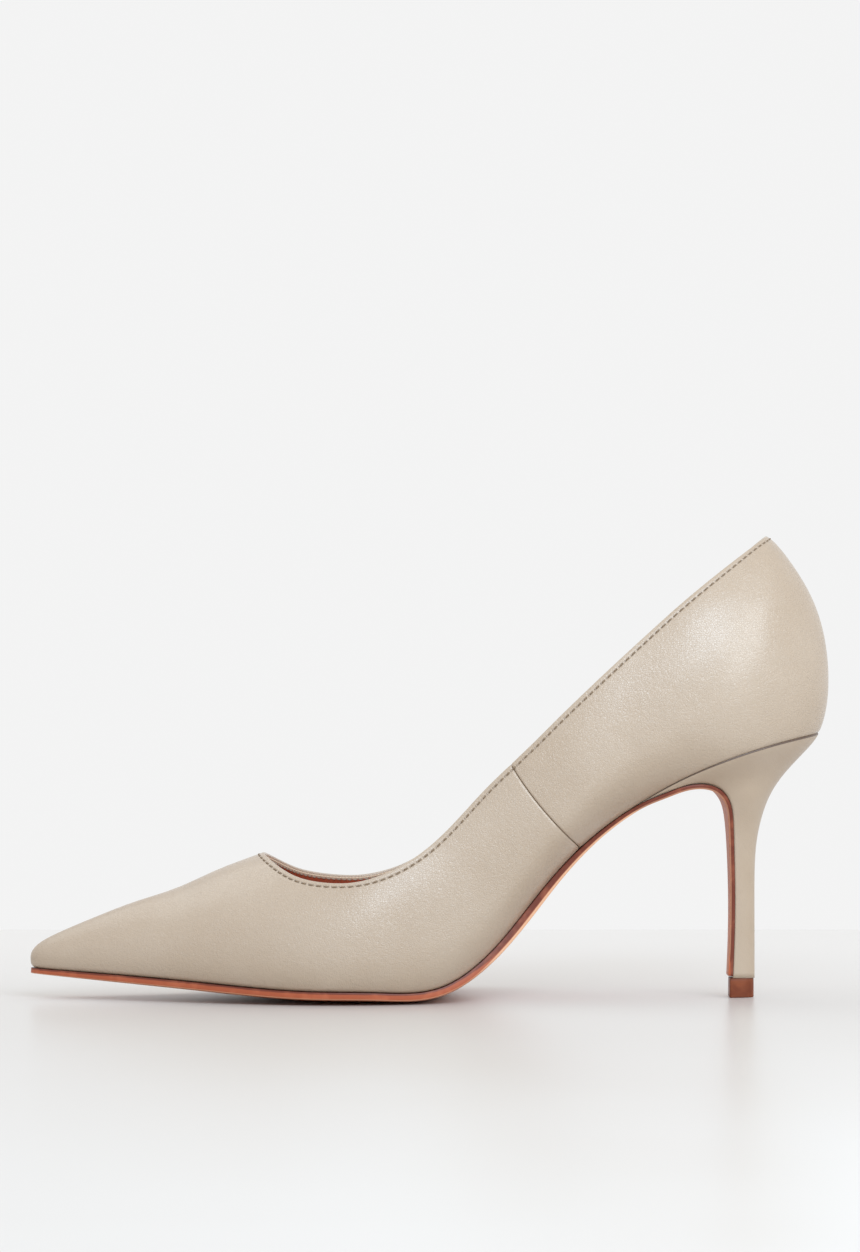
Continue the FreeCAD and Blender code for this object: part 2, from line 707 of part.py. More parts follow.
def ahead_of(offset):
    """Everything in front of the breast, down to below the floor."""
    edge = breast_points(offset)
    bottom = FreeCAD.Vector(edge[-1].x, 0, -12)
    corner = FreeCAD.Vector(edge[0].x - 30, 0, -12)
    upper = FreeCAD.Vector(edge[0].x - 30, 0, edge[0].z)
    return slab([spline_edge(edge), Part.makeLine(edge[-1], bottom), Part.makeLine(bottom, corner),
                 Part.makeLine(corner, upper), Part.makeLine(upper, edge[0])])


below_lift = Part.makeBox(120, 120, 40 + lift_height + 0.02, FreeCAD.Vector(30, -60, -40))
breast_gap = 0.05
outer_form = heel_form(0)
trim = ahead_of(-breast_gap)
cover = outer_form.cut(heel_form(cover_t, 1.0)).cut(above_seat).cut(trim).cut(below_lift)
block = heel_form(cover_t + 0.05).cut(above_seat).cut(trim).cut(below_lift)

# steel tube down the stem, pressed into the block, and the lift's pin inside it
axis_x = stem_x + 0.75
up = FreeCAD.Vector(0, 0, 1)


def cylinder(radius, z0, z1, x=axis_x, y=0.0):
    return Part.makeCylinder(radius, z1 - z0, FreeCAD.Vector(x, y, z0), up)


tube_low = lift_height + 0.1
tube = cylinder(tube_r, tube_low, tube_low + tube_length)
parts["heel_tube"] = tube.cut(cylinder(tube_bore_r, tube_low - 1, tube_low + tube_length + 1))
block = block.cut(cylinder(tube_r + fastener_clearance, 0, tube_low + tube_length + 0.1))

# ---- fasteners through the seat ----


def turned(profile, x, y, height):
    """A round fastener standing square to the bottom; profile is (radius, height) from its axis."""
    points = [FreeCAD.Vector(r, 0, h) for r, h in profile]
    wire = Part.makePolygon(points + [points[0]])
    solid = Part.Face(wire).revolve(FreeCAD.Vector(0, 0, 0), up, 360)
    lean = bottom_up(x)
    solid.rotate(FreeCAD.Vector(0, 0, 0), up.cross(lean) if lean.x else FreeCAD.Vector(0, 1, 0),
                 math.degrees(up.getAngle(lean)))
    base = side_point(x, height)
    solid.translate(FreeCAD.Vector(base.x, y, base.z))
    return solid


def fastener(shaft, head, head_t, below, above, point):
    """A pointed shaft with a flat head; heights are from the head's underside."""
    return [(0, head_t), (head, head_t), (head, 0), (shaft, 0), (shaft, -below + point),
            (0, -below)]


grow = fastener_clearance
screw_x, screw_y = along(0.868), 0.0
screw = turned(fastener(screw_r, screw_head_r, 1.0, screw_length, 0, 3.0), screw_x, screw_y,
               board_top - 1.1)
screw_hole = turned(fastener(screw_r + grow, screw_head_r + grow, 3.0, screw_length + 0.3, 0, 3.0),
                    screw_x, screw_y, board_top - 1.1 - grow)
nail_spots = [(along(0.848), 7.5), (along(0.848), -7.5), (along(0.905), 8.5), (along(0.905), -8.5)]
nails = []
nail_holes = []
for x, y in nail_spots:
    nails.append(turned(fastener(nail_r, nail_head_r, 0.5, nail_length, 0, 1.5), x, y,
                        board_top - 0.6))
    nail_holes.append(turned(fastener(nail_r + grow, nail_head_r + grow, 3.0, nail_length + 0.3,
                                      0, 1.5), x, y, board_top - 0.6 - grow))
rivet_r = 1.5
rivets = []
rivet_holes = []
for x in (along(0.56), along(0.68)):
    y = centre_y(along(0.69))
    low, high = steel_top - steel_t - 0.35, board_top - 0.05
    body = high - low
    shape = [(0, 0), (rivet_r + 0.9, 0), (rivet_r + 0.9, 0.33), (rivet_r, 0.33),
             (rivet_r, body - 0.5), (rivet_r + 0.9, body - 0.5), (rivet_r + 0.9, body), (0, body)]
    room = [(0, -0.1), (rivet_r + 0.9 + grow, -0.1), (rivet_r + 0.9 + grow, 0.33 - 0.0),
            (rivet_r + grow, 0.33), (rivet_r + grow, body - 0.5 - grow),
            (rivet_r + 0.9 + grow, body - 0.5 - grow), (rivet_r + 0.9 + grow, body + 2), (0, body + 2)]
    rivets.append(turned(shape, x, y, low))
    rivet_holes.append(turned(room, x, y, low))

parts["heel_screw"] = screw
parts["heel_nails"] = Part.makeCompound(nails)
parts["shank_rivets"] = Part.makeCompound(rivets)
holes = [screw_hole] + nail_holes + rivet_holes
parts["insole_board"] = insole.cut(holes)
parts["shank_board"] = shank_board.cut(holes)
parts["steel_shank"] = steel.cut(holes)
parts["heel_block"] = block.cut(holes)
parts["heel_cover"] = cover

# ---- outsole with its breast flap ----
sole_plan = column(plan_outline(feather_xy, -sole_lip))
over_sole = strip(toe_x - 3, split_x + 14, flat(-0.05), flat(25))
front_sole = underside().common(sole_plan)
front_sole = front_sole.cut(over_sole)
front_sole = front_sole.cut(Part.makeBox(300, 200, 20, FreeCAD.Vector(-150, -100, -20)))
tail = Part.makeBox(200, 200, 200, FreeCAD.Vector(split_x - 3.0, -100, -20))
front_sole = front_sole.cut(tail)
flap = breast_block(0, flap_t).common(heel_form(-0.1))
parts["outsole"] = front_sole.fuse(flap)

# ---- top lift ----


def stem_outline(grow_by, z):
    """The D-shaped outline of the stem's end."""
    front = stem_front + 0.35 - grow_by
    back = stem_back + grow_by
    half = stem_half_width + grow_by
    arc = []
    for i in range(-8, 9):
        c = abs(i) / 8
        arc.append(FreeCAD.Vector(front + (back - front) * math.cos(c * half_turn / 2),
                                  (1 if i > 0 else -1) * half * math.sin(c * half_turn / 2) ** 0.85
                                  if i else 0.0, z))
    return Part.Wire([spline_edge(arc), Part.makeLine(arc[-1], arc[0])])


lift = Part.Face(stem_outline(-lift_inset, 0)).extrude(FreeCAD.Vector(0, 0, lift_height))
pin_low = lift_height - 3.2
pin = cylinder(tube_bore_r - pin_clearance, pin_low, pin_low + pin_length)
pin_head = cylinder(tube_bore_r + 0.7, pin_low - 0.8, pin_low)
parts["top_lift_pin"] = pin.fuse(pin_head).removeSplitter()
lift = lift.cut(cylinder(tube_bore_r - pin_clearance + 0.03, pin_low - 0.4, 40))
parts["top_lift"] = lift.cut(cylinder(tube_bore_r + 0.73, pin_low - 0.83, pin_low + 0.03))

# ---- stitching round the topline ----
stitch_v = 0.957
track = []
steps = 1440
for i in range(steps + 1):
    a = -half_turn + 2 * half_turn * i / steps
    track.append((a, outer_point(a, stitch_v)))
lengths = [0.0]
for i in range(steps):
    lengths.append(lengths[-1] + (track[i + 1][1] - track[i][1]).Length)
stitch_count = int(lengths[-1] / stitch_pitch)


def track_angle(length):
    length = length % lengths[-1]
    low, high = 0, steps
    while high - low > 1:
        mid = (low + high) // 2
        if lengths[mid] > length:
            high = mid
        else:
            low = mid
    share = (length - lengths[low]) / (lengths[high] - lengths[low])
    return track[low][0] + (track[high][0] - track[low][0]) * share


stitches = []
for k in range(stitch_count):
    middle = (k + 0.5) * lengths[-1] / stitch_count
    ends = []
    for shift in (-stitch_length / 2, stitch_length / 2):
        a = track_angle(middle + shift)
        ends.append(inward(outer_point(a, stitch_v), wall_normal(a, stitch_v), -stitch_r - 0.04))
    run = ends[1] - ends[0]
    stitches.append(Part.makeCylinder(stitch_r, run.Length, ends[0], run))
parts["topline_stitching"] = Part.makeCompound(stitches)

# ---- write one file per piece, with the floor at z = 0 and the box centred on the origin ----
box = FreeCAD.BoundBox()
for shape in parts.values():
    box.add(shape.optimalBoundingBox(False, False))
shift = FreeCAD.Vector(-(box.XMin + box.XMax) / 2, -(box.YMin + box.YMax) / 2, -box.ZMin)
os.makedirs("parts", exist_ok=True)
for name in sorted(parts):
    shape = parts[name]
    shape.translate(shift)
    shape.exportStep("parts/" + name + ".step")
    print(name, len(shape.Solids), shape.isValid(), round(shape.Volume, 1))
print("box", box.XLength, box.YLength, box.ZLength, "shift", tuple(shift))
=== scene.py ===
import math
import bmesh
import bpy
import numpy as np
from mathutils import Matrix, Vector


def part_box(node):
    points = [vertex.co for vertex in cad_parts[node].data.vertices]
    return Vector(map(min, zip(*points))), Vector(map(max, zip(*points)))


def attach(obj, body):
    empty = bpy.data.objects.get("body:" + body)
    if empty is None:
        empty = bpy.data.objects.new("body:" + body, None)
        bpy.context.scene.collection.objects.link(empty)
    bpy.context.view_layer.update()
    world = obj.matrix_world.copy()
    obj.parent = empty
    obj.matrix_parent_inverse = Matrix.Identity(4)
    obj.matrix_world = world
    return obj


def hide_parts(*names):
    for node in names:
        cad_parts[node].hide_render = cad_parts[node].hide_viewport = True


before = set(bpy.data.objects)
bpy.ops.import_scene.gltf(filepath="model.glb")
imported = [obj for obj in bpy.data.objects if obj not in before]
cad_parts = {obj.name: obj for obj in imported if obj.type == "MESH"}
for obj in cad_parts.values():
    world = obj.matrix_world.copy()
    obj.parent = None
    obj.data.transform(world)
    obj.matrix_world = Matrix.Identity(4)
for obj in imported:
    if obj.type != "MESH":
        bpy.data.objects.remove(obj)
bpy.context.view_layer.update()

print("frame loaded:", len(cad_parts), "pieces")

# sizes in millimetres; the finished meshes are in metres
form = {
    "length": 240.6,         # toe tip to the back of the counter
    "heelHeight": 79.6,      # floor to the feather line at the back of the seat
    "toeSpring": 5.5,
    "ballInner": 33.3, "ballOuter": 37.0,
    "waistInner": 16.0, "waistOuter": 18.5,
    "seatHalf": 24.0,
    "wallOut": 3.2, "waistOut": 14.3, "seatOut": 5.3, "backOut": 3.1,
    "throatHeight": 39.2, "backHeight": 63.1, "outerDip": 3.6,
    "soleCentre": 3.75, "soleWaist": 1.9, "flap": 1.5, "soleLip": 0.3,
    "stemHalf": 4.4, "liftHeight": 5.9, "liftInset": 0.25,
}
toeX = -form["length"] / 2
turn = math.pi


def along(share):
    return toeX + share * form["length"]


class SplineLine:
    # a natural cubic spline through (position, value) points, read for whole arrays at once
    def __init__(self, points):
        self.x = np.array([p[0] for p in points], float)
        self.y = np.array([p[1] for p in points], float)
        n = len(points)
        h = np.diff(self.x)
        rise = np.diff(self.y) / h
        a = np.eye(n)
        b = np.zeros(n)
        i = np.arange(1, n - 1)
        a[i, i - 1] = h[:-1]
        a[i, i] = 2 * (h[:-1] + h[1:])
        a[i, i + 1] = h[1:]
        b[i] = 6 * np.diff(rise)
        self.m = np.linalg.solve(a, b)

    def __call__(self, at):
        at = np.asarray(at, float)
        i = np.clip(np.searchsorted(self.x, at) - 1, 0, len(self.x) - 2)
        h = self.x[i + 1] - self.x[i]
        a, b = (self.x[i + 1] - at) / h, (at - self.x[i]) / h
        bend = (a ** 3 - a) * self.m[i] + (b ** 3 - b) * self.m[i + 1]
        return a * self.y[i] + b * self.y[i + 1] + bend * h * h / 6


class RingLine:
    # a closed outline from toe to back, where x follows the cosine of an angle
    def __init__(self, front, back):
        self.front, self.back = front, back

    def x(self, angle):
        return self.front + (self.back - self.front) * (1 - np.cos(angle)) / 2

    def angle(self, x):
        share = (np.asarray(x, float) - self.front) / (self.back - self.front)
        return np.arccos(np.clip(1 - 2 * share, -1, 1))

    def widths(self, points):
        ends = [(0.0, 0.0)] + [(float(self.angle(along(s))), w) for s, w in points] + [(turn, 0.0)]
        return SplineLine(ends)


# the last the shoe is pulled over
throatShare, backShare = 0.2925, 0.921
featherRing = RingLine(toeX + 0.5, toeX + form["length"] - form["backOut"])
bulgeRing = RingLine(toeX, toeX + form["length"])
toplineRing = RingLine(along(throatShare), along(backShare))
soleTop, climb = form["soleCentre"], form["heelHeight"] - form["soleCentre"]
featherZ = SplineLine([
    (along(0.002), soleTop + form["toeSpring"]), (along(0.21), soleTop + 0.48 * form["toeSpring"]),
    (along(0.35), soleTop + 0.08 * form["toeSpring"]), (along(0.44), soleTop),
    (along(0.515), soleTop + 0.017 * climb), (along(0.585), soleTop + 0.181 * climb),
    (along(0.65), soleTop + 0.433 * climb), (along(0.716), soleTop + 0.634 * climb),
    (along(0.762), soleTop + 0.735 * climb), (along(0.808), soleTop + 0.8195 * climb),
    (along(0.855), soleTop + 0.8866 * climb), (along(0.901), soleTop + 0.937 * climb),
    (along(0.943), soleTop + 0.972 * climb), (along(0.987), form["heelHeight"])])
centreY = SplineLine([(along(0), -4.0), (along(0.3), -6.0), (along(0.58), -2.0),
                      (along(0.75), 0.0), (along(1), 0.0)])
widthShares = (0.01, 0.035, 0.092, 0.175, 0.266, 0.35, 0.437, 0.541)
innerBall = (0.08, 0.155, 0.285, 0.475, 0.675, 0.825, 0.84, 0.66)
outerBall = (0.072, 0.14, 0.27, 0.5, 0.81, 1.04, 1.135, 0.93)
seatTail = [(0.854, form["seatHalf"]), (0.937, 0.75 * form["seatHalf"])]
featherInner = featherRing.widths(
    [(s, w * form["ballInner"]) for s, w in zip(widthShares, innerBall)]
    + [(0.625, 1.03 * form["waistInner"]), (0.69, form["waistInner"]),
       (0.75, 1.12 * form["waistInner"])]
    + seatTail)
featherOuter = featherRing.widths(
    [(s, w * form["ballOuter"]) for s, w in zip(widthShares, outerBall)]
    + [(0.625, 1.25 * form["waistOuter"]), (0.69, 1.03 * form["waistOuter"]),
       (0.75, 1.05 * form["waistOuter"])]
    + seatTail)
overhang = SplineLine([
    (0.0, 0.8), (0.1, 0.45 * form["wallOut"]), (0.35, form["wallOut"]), (0.46, 1.25 * form["wallOut"]),
    (0.57, 0.62 * form["waistOut"]), (0.66, form["waistOut"]), (0.75, 0.85 * form["waistOut"]),
    (0.854, form["seatOut"]), (0.95, form["backOut"]), (1.0, form["backOut"])])


def bulgeWidths(feather):
    shares = (0.01, 0.035, 0.092, 0.175, 0.266, 0.35, 0.437, 0.541, 0.625, 0.69, 0.75, 0.854, 0.93)
    return bulgeRing.widths(
        [(s, float(feather(featherRing.angle(along(s))) + overhang(s))) for s in shares])


bulgeInner, bulgeOuter = bulgeWidths(featherInner), bulgeWidths(featherOuter)
bulgeRise = SplineLine([
    (along(0), 3.1), (along(0.1), 4.3), (along(0.35), 9.6), (along(0.46), 12.5), (along(0.55), 16.5),
    (along(0.7), 16.6), (along(0.85), 17.6), (along(1), 15.4)])
ridgeRise = bulgeRing.widths([
    (0.009, 3.8), (0.036, 7.5), (0.086, 12.6), (0.137, 17.1), (0.187, 20.9), (0.237, 26.1),
    (throatShare, form["throatHeight"] - float(bulgeRise(along(throatShare)))), (0.39, 41.5),
    (0.458, 51.0), (0.535, 60.5), (0.61, 65.0), (0.687, 59.5), (0.758, 55.6), (0.833, 51.8),
    (0.884, 48.3), (backShare, form["backHeight"] - float(bulgeRise(along(backShare)))),
    (0.945, 39.6), (0.968, 30.8), (0.984, 22.6)])
peak = SplineLine([(along(0), 0.5), (along(0.3), 0.5), (along(0.5), 0.15), (along(0.65), 0.0),
                   (along(1), 0.0)])
toplineRise = SplineLine([
    (along(throatShare), form["throatHeight"]), (along(0.327), 34.4), (along(0.365), 32.4),
    (along(0.41), 32.7), (along(0.455), 36.6), (along(0.51), 44.6), (along(0.57), 50.6),
    (along(0.63), 47.6), (along(0.69), 45.9), (along(0.76), 48.9), (along(0.83), 54.4),
    (along(0.885), 59.5), (along(backShare), form["backHeight"])])
dip = form["outerDip"]
toplineDip = SplineLine([
    (along(0.29), 0.0), (along(0.36), 0.4), (along(0.5), dip), (along(0.66), dip),
    (along(0.8), 0.85 * dip), (along(0.88), 0.5 * dip), (along(backShare), 0.0)])
bulgeAngle = SplineLine([(0, 0), (1.31, 1.29), (1.97, 1.896), (2.39, 2.29), (2.8, 2.76), (turn, turn)])
toplineAngle = SplineLine([(0, 0), (0.7, 0.24), (1.31, 0.66), (1.97, 1.545), (2.39, 2.12),
                           (2.8, 2.68), (turn, turn)])
seamAngle = 1.971
wallSplit, tuck = 0.34, 0.55
evenFrom, evenTo, evenFade = 1.15, 2.95, 0.55   # between these turns the lines run square to the sole
turnStep, shareStep = 0.004, 0.002              # the small steps that directions are read over
topSpan = 0.03                                  # the share below the topline its slope is read over


def sideAngle(a):
    a = (np.asarray(a, float) + turn) % (2 * turn) - turn
    return np.where(a >= 0, 1.0, -1.0), np.abs(a)


def halfWidth(inner, outer, side, angle):
    return np.where(side > 0, outer(angle), inner(angle))


def featherHalf(side, x):
    return halfWidth(featherInner, featherOuter, side, featherRing.angle(x))


def bulgeHalf(side, x):
    return halfWidth(bulgeInner, bulgeOuter, side, bulgeRing.angle(x))


def featherXY(a):
    side, angle = sideAngle(a)
    x = featherRing.x(angle)
    return x, centreY(x) + side * halfWidth(featherInner, featherOuter, side, angle)


def easeStep(t):
    t = np.clip(t, 0, 1)
    return t * t * (3 - 2 * t)


def outerPoint(a, v):
    # the leather's outer surface: v climbs from the feather line (0) to the topline (1).
    # below the widest line the wall swings out on a quarter arc, above it the wall follows
    # the closed last: height = widest line + ridge * sqrt(1 - share of the half width squared)
    a, v = np.broadcast_arrays(np.asarray(a, float), np.asarray(v, float))
    side, angle = sideAngle(a)
    w = easeStep((angle - evenFrom) / evenFade) * easeStep((evenTo - angle) / evenFade)
    fx = featherRing.x(angle)
    fy = centreY(fx) + side * halfWidth(featherInner, featherOuter, side, angle)
    mid = bulgeAngle(angle)
    mx = bulgeRing.x(mid)
    my = centreY(mx) + side * halfWidth(bulgeInner, bulgeOuter, side, mid)
    even = v / wallSplit
    swing = tuck + (turn / 2 - tuck) * even
    out = (np.sin(swing) - math.sin(tuck)) / (1 - math.sin(tuck))
    rise = (math.cos(tuck) - np.cos(swing)) / math.cos(tuck)
    lowX = (1 - w) * (fx + (mx - fx) * out) + w * (fx + (mx - fx) * even)
    fh = featherHalf(side, lowX)
    lowY = (1 - w) * (fy + (my - fy) * out)
    lowY = lowY + w * (centreY(lowX) + side * (fh + (bulgeHalf(side, lowX) - fh) * out))
    low = (1 - w) * featherZ(fx) + w * featherZ(lowX)
    high = (1 - w) * (featherZ(mx) + bulgeRise(mx)) + w * (featherZ(lowX) + bulgeRise(lowX))
    lowZ = low + (high - low) * rise
    tx = toplineRing.x(toplineAngle(angle))
    tz = featherZ(tx) + toplineRise(tx) - np.where(side > 0, toplineDip(tx), 0)
    up = np.clip((tz - featherZ(tx) - bulgeRise(tx)) / ridgeRise(bulgeRing.angle(tx)), 0, 1)
    roundShare = np.sqrt(1 - up * up)
    q = peak(tx)
    ty = centreY(tx) + side * bulgeHalf(side, tx) * roundShare / np.sqrt(1 + q * (1 - roundShare ** 2))
    reachAngle = np.arccos(roundShare)
    even = (v - wallSplit) / (1 - wallSplit)
    eased = (1 - np.cos(even * reachAngle)) / (1 - roundShare)
    lineX = mx + (tx - mx) * eased
    lineAside = (my - centreY(mx)) * (1 - eased) + (ty - centreY(tx)) * eased
    lineReach = np.maximum(1e-6, bulgeHalf(side, lineX))
    lineShare = np.clip(side * lineAside / lineReach, 0, 1)
    highX = (1 - w) * lineX + w * (mx + (tx - mx) * even)
    q = peak(highX)
    turned = np.cos(even * reachAngle)
    share = (1 - w) * lineShare + w * turned / np.sqrt(1 + q * (1 - turned ** 2))
    highY = centreY(highX) + side * bulgeHalf(side, highX) * share
    up = np.sqrt(np.clip(1 - share ** 2 * (1 + q) / (1 + q * share ** 2), 0, 1))
    highZ = featherZ(highX) + bulgeRise(highX) + ridgeRise(bulgeRing.angle(highX)) * up
    below = v < wallSplit
    return np.stack([np.where(below, lowX, highX), np.where(below, lowY, highY),
                     np.where(below, lowZ, highZ)], -1)


def unitRows(vectors):
    return vectors / np.maximum(1e-12, np.linalg.norm(vectors, axis=-1, keepdims=True))


def wallNormal(a, v):
    # points into the shoe: the cross product of the two directions of the surface.
    # beside the toe's ridge the lines crowd together, and the ridge's own direction is used
    a, v = np.broadcast_arrays(np.asarray(a, float), np.clip(v, 0.003, 0.997))

    def directions(at):
        upwards = outerPoint(at, v + shareStep) - outerPoint(at, v - shareStep)
        return np.cross(outerPoint(at + turnStep, v) - outerPoint(at - turnStep, v), upwards), upwards

    away, upwards = directions(a)
    size, tall = np.linalg.norm(away, axis=-1), np.linalg.norm(upwards, axis=-1)
    crowded = (size < 0.02 * tall) & (np.abs(a) < 0.3)
    return unitRows(np.where(crowded[..., None], directions(a * 0)[0], away))


def inward(point, normal, depth):
    # point + depth * normal, with the sideways part eased off where the toe is narrow
    beside = np.abs(point[..., 1] - centreY(point[..., 0]))
    ease = np.stack([np.ones_like(beside), beside / (beside + 0.7), np.ones_like(beside)], -1)
    return point + np.asarray(depth)[..., None] * normal * ease


def bottomUp(x):
    slope = (featherZ(x + 0.05) - featherZ(x - 0.05)) / 0.1
    return unitRows(np.stack([-slope, np.zeros_like(slope), np.ones_like(slope)], -1))


def sidePoint(x, height):
    # the side view: a height above the feather line, measured square to it
    x = np.asarray(x, float)
    base = np.stack([x, np.zeros_like(x), featherZ(x)], -1)
    return base + np.asarray(height)[..., None] * bottomUp(x)


# the frame was centred on the floor after it was drawn, so the same shift is read back from a solid
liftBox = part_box("top_lift")
stemFront, stemBack = along(0.8730), along(0.9073)
shift = np.array([liftBox[1][0] * 1000 - (stemBack - form["liftInset"]),
                  (liftBox[0][1] + liftBox[1][1]) * 500, liftBox[0][2] * 1000])
print("shift of the last in mm:", shift.round(3))


# meshes
def gridQuads(rows, cols, closeCols=False):
    i = np.arange(rows - 1)[:, None]
    j = np.arange(cols - (0 if closeCols else 1))[None, :]
    i2, j2 = i + 1, (j + 1) % cols
    quads = np.stack([i * cols + j, i * cols + j2, i2 * cols + j2, i2 * cols + j], -1)
    corners = np.stack([np.stack(np.broadcast_arrays(i + p, j + q), -1)
                        for p, q in ((0, 0), (0, 1), (1, 1), (1, 0))], -2)
    return quads.reshape(-1, 4), corners.reshape(-1, 4, 2)


def makePiece(name, points, quads, uvs, material, weld=0.0, tidy=False, cap=None):
    # points in mm, uvs one pair per quad corner, cap an extra many-sided face
    mesh = bpy.data.meshes.new(name)
    faces = quads.tolist() + ([cap] if cap else [])
    mesh.from_pydata(((points.reshape(-1, 3) + shift) * 0.001).tolist(), [], faces)
    flat = np.ascontiguousarray(uvs, dtype=np.float32).ravel()
    if cap:
        flat = np.concatenate([flat, np.tile(flat[-2:], len(cap))])
    mesh.uv_layers.new(name="lay").data.foreach_set("uv", flat)
    mesh.polygons.foreach_set("use_smooth", np.ones(len(faces), dtype=bool))
    mesh.materials.append(material)
    piece = bpy.data.objects.new(name, mesh)
    bpy.context.scene.collection.objects.link(piece)
    if weld or tidy:
        shell = bmesh.new()
        shell.from_mesh(mesh)
        if weld:
            bmesh.ops.remove_doubles(shell, verts=shell.verts, dist=weld * 0.001)
            bmesh.ops.dissolve_degenerate(shell, edges=shell.edges, dist=1e-7)
        bmesh.ops.recalc_face_normals(shell, faces=shell.faces)
        loose = sum(not edge.is_manifold for edge in shell.edges)
        shell.to_mesh(mesh)
        shell.free()
        print("made", name, len(mesh.polygons), "faces,", loose, "open edges")
    mesh.update()
    return piece


def gridPiece(name, grid, uv, material, closeCols=False, weld=0.0, cap=False):
    # uv holds one pair for each grid line, so a closed direction has one line more
    quads, corners = gridQuads(grid.shape[0], grid.shape[1], closeCols)
    uvs = uv[corners[..., 0], corners[..., 1]]
    last = list(range((grid.shape[0] - 1) * grid.shape[1], grid.shape[0] * grid.shape[1]))
    return makePiece(name, grid, quads, uvs, material, weld, cap=last if cap else None)


# shader writing
class Wire:
    # wraps an output socket so that shader maths reads as plain expressions
    def __init__(self, tree, socket):
        self.tree, self.socket = tree, socket

    def math(self, operation, *others, swap=False):
        first, rest = (others[0], [self]) if swap else (self, list(others))
        return addNode(self.tree, "ShaderNodeMath", {"operation": operation}, first, *rest)

    def __add__(self, other):
        return self.math("ADD", other)

    def __radd__(self, other):
        return self.math("ADD", other, swap=True)

    def __sub__(self, other):
        return self.math("SUBTRACT", other)

    def __rsub__(self, other):
        return self.math("SUBTRACT", other, swap=True)

    def __mul__(self, other):
        return self.math("MULTIPLY", other)

    def __rmul__(self, other):
        return self.math("MULTIPLY", other, swap=True)

    def __truediv__(self, other):
        return self.math("DIVIDE", other)

    def __abs__(self):
        return self.math("ABSOLUTE")

    def sine(self):
        return self.math("SINE")

    def part(self):
        return self.math("FRACT")

    def held(self):
        return self.math("MAXIMUM", 0.0).math("MINIMUM", 1.0)


def linkInto(tree, socket, value):
    if isinstance(value, Wire):
        tree.links.new(value.socket, socket)
    elif value is not None:
        if hasattr(socket.default_value, "__len__") and not hasattr(value, "__len__"):
            value = [value] * len(socket.default_value)
        socket.default_value = value


def addNode(tree, kind, settings=None, *values, output=0, **named):
    node = tree.nodes.new(kind)
    for key, value in (settings or {}).items():
        setattr(node, key, value)
    for i, value in enumerate(values):
        linkInto(tree, node.inputs[i], value)
    for key, value in named.items():
        linkInto(tree, node.inputs[key.replace("_", " ")], value)
    return Wire(tree, node.outputs[output])


def paint(*rgb):
    # a colour given as 0-255 numbers, as the shader's linear numbers
    c = np.array(rgb, float) / 255
    return tuple(float(v) for v in np.where(c <= 0.04045, c / 12.92, ((c + 0.055) / 1.055) ** 2.4))


class Finish:
    # one material with its Principled shader, and short ways to the nodes that finishes are made of
    def __init__(self, name, **fixed):
        self.material = bpy.data.materials.new(name)
        self.material.use_nodes = True
        self.tree = self.material.node_tree
        self.tree.nodes.clear()
        self.shader = self.tree.nodes.new("ShaderNodeBsdfPrincipled")
        out = self.tree.nodes.new("ShaderNodeOutputMaterial")
        self.tree.links.new(self.shader.outputs[0], out.inputs["Surface"])
        for key, value in fixed.items():
            self.shader.inputs[key.replace("_", " ")].default_value = value
        self.where = addNode(self.tree, "ShaderNodeTexCoord", None, output=3)

    def node(self, kind, settings=None, *values, **named):
        return addNode(self.tree, kind, settings, *values, **named)

    def layUv(self):
        flat = self.node("ShaderNodeUVMap", {"uv_map": "lay"})
        split = self.tree.nodes.new("ShaderNodeSeparateXYZ")
        self.tree.links.new(flat.socket, split.inputs[0])
        return Wire(self.tree, split.outputs[0]), Wire(self.tree, split.outputs[1])

    def place(self):
        split = self.tree.nodes.new("ShaderNodeSeparateXYZ")
        self.tree.links.new(self.where.socket, split.inputs[0])
        return [Wire(self.tree, split.outputs[i]) for i in range(3)]

    def noise(self, size, detail=3.0, rough=0.5):
        # size is how large one blotch is, in millimetres
        return self.node("ShaderNodeTexNoise", {"noise_dimensions": "3D"},
                         Vector=self.where, Scale=1000.0 / size, Detail=detail,
                         Roughness=rough)

    def cells(self, size, feature="F1", random=1.0):
        return self.node("ShaderNodeTexVoronoi", {"feature": feature},
                         Vector=self.where, Scale=1000.0 / size, Randomness=random)

    def mix(self, share, first, second):
        node = self.tree.nodes.new("ShaderNodeMix")
        node.data_type = "RGBA"
        linkInto(self.tree, node.inputs[0], share)
        for socket, value in ((node.inputs[6], first), (node.inputs[7], second)):
            if isinstance(value, Wire):
                self.tree.links.new(value.socket, socket)
            else:
                socket.default_value = (*value, 1)
        return Wire(self.tree, node.outputs[2])

    def soft(self, value, low, high):
        # 0 below low, 1 above high, eased between
        return self.node("ShaderNodeMapRange", {"interpolation_type": "SMOOTHSTEP"}, value, low, high)

    def bump(self, height, depth, strength=1.0, before=None):
        # depth is the height of the pattern in millimetres
        node = self.tree.nodes.new("ShaderNodeBump")
        node.inputs["Strength"].default_value = strength
        node.inputs["Distance"].default_value = depth * 0.001
        self.tree.links.new(height.socket, node.inputs["Height"])
        if before is not None:
            self.tree.links.new(before.socket, node.inputs["Normal"])
        return Wire(self.tree, node.outputs[0])

    def set(self, **values):
        for key, value in values.items():
            linkInto(self.tree, self.shader.inputs[key.replace("_", " ")], value)
        return self.material


# leather of the upper
upperLeather = {
    "colour": paint(180, 160, 138), "pale": paint(184, 165, 144), "deep": paint(175, 154, 131),
    # the crease colour darkens the grain's pores and is also painted as shade under stitches and at the
    # heel seat; the hole colour is painted shade in the needle holes
    "edge": paint(196, 180, 161), "poreAndShade": paint(120, 100, 84), "hole": paint(88, 66, 52),
    "grain": 0.6, "grainDepth": 0.095, "sheen": 0.33,
    "shine": 1.0, "coat": 0.4, "coatRough": 0.24,
    "pucker": 0.3, "thick": 1.1, "stitchFrom": 1.7, "stitchPitch": 2.45, "stitchLong": 1.5,
}


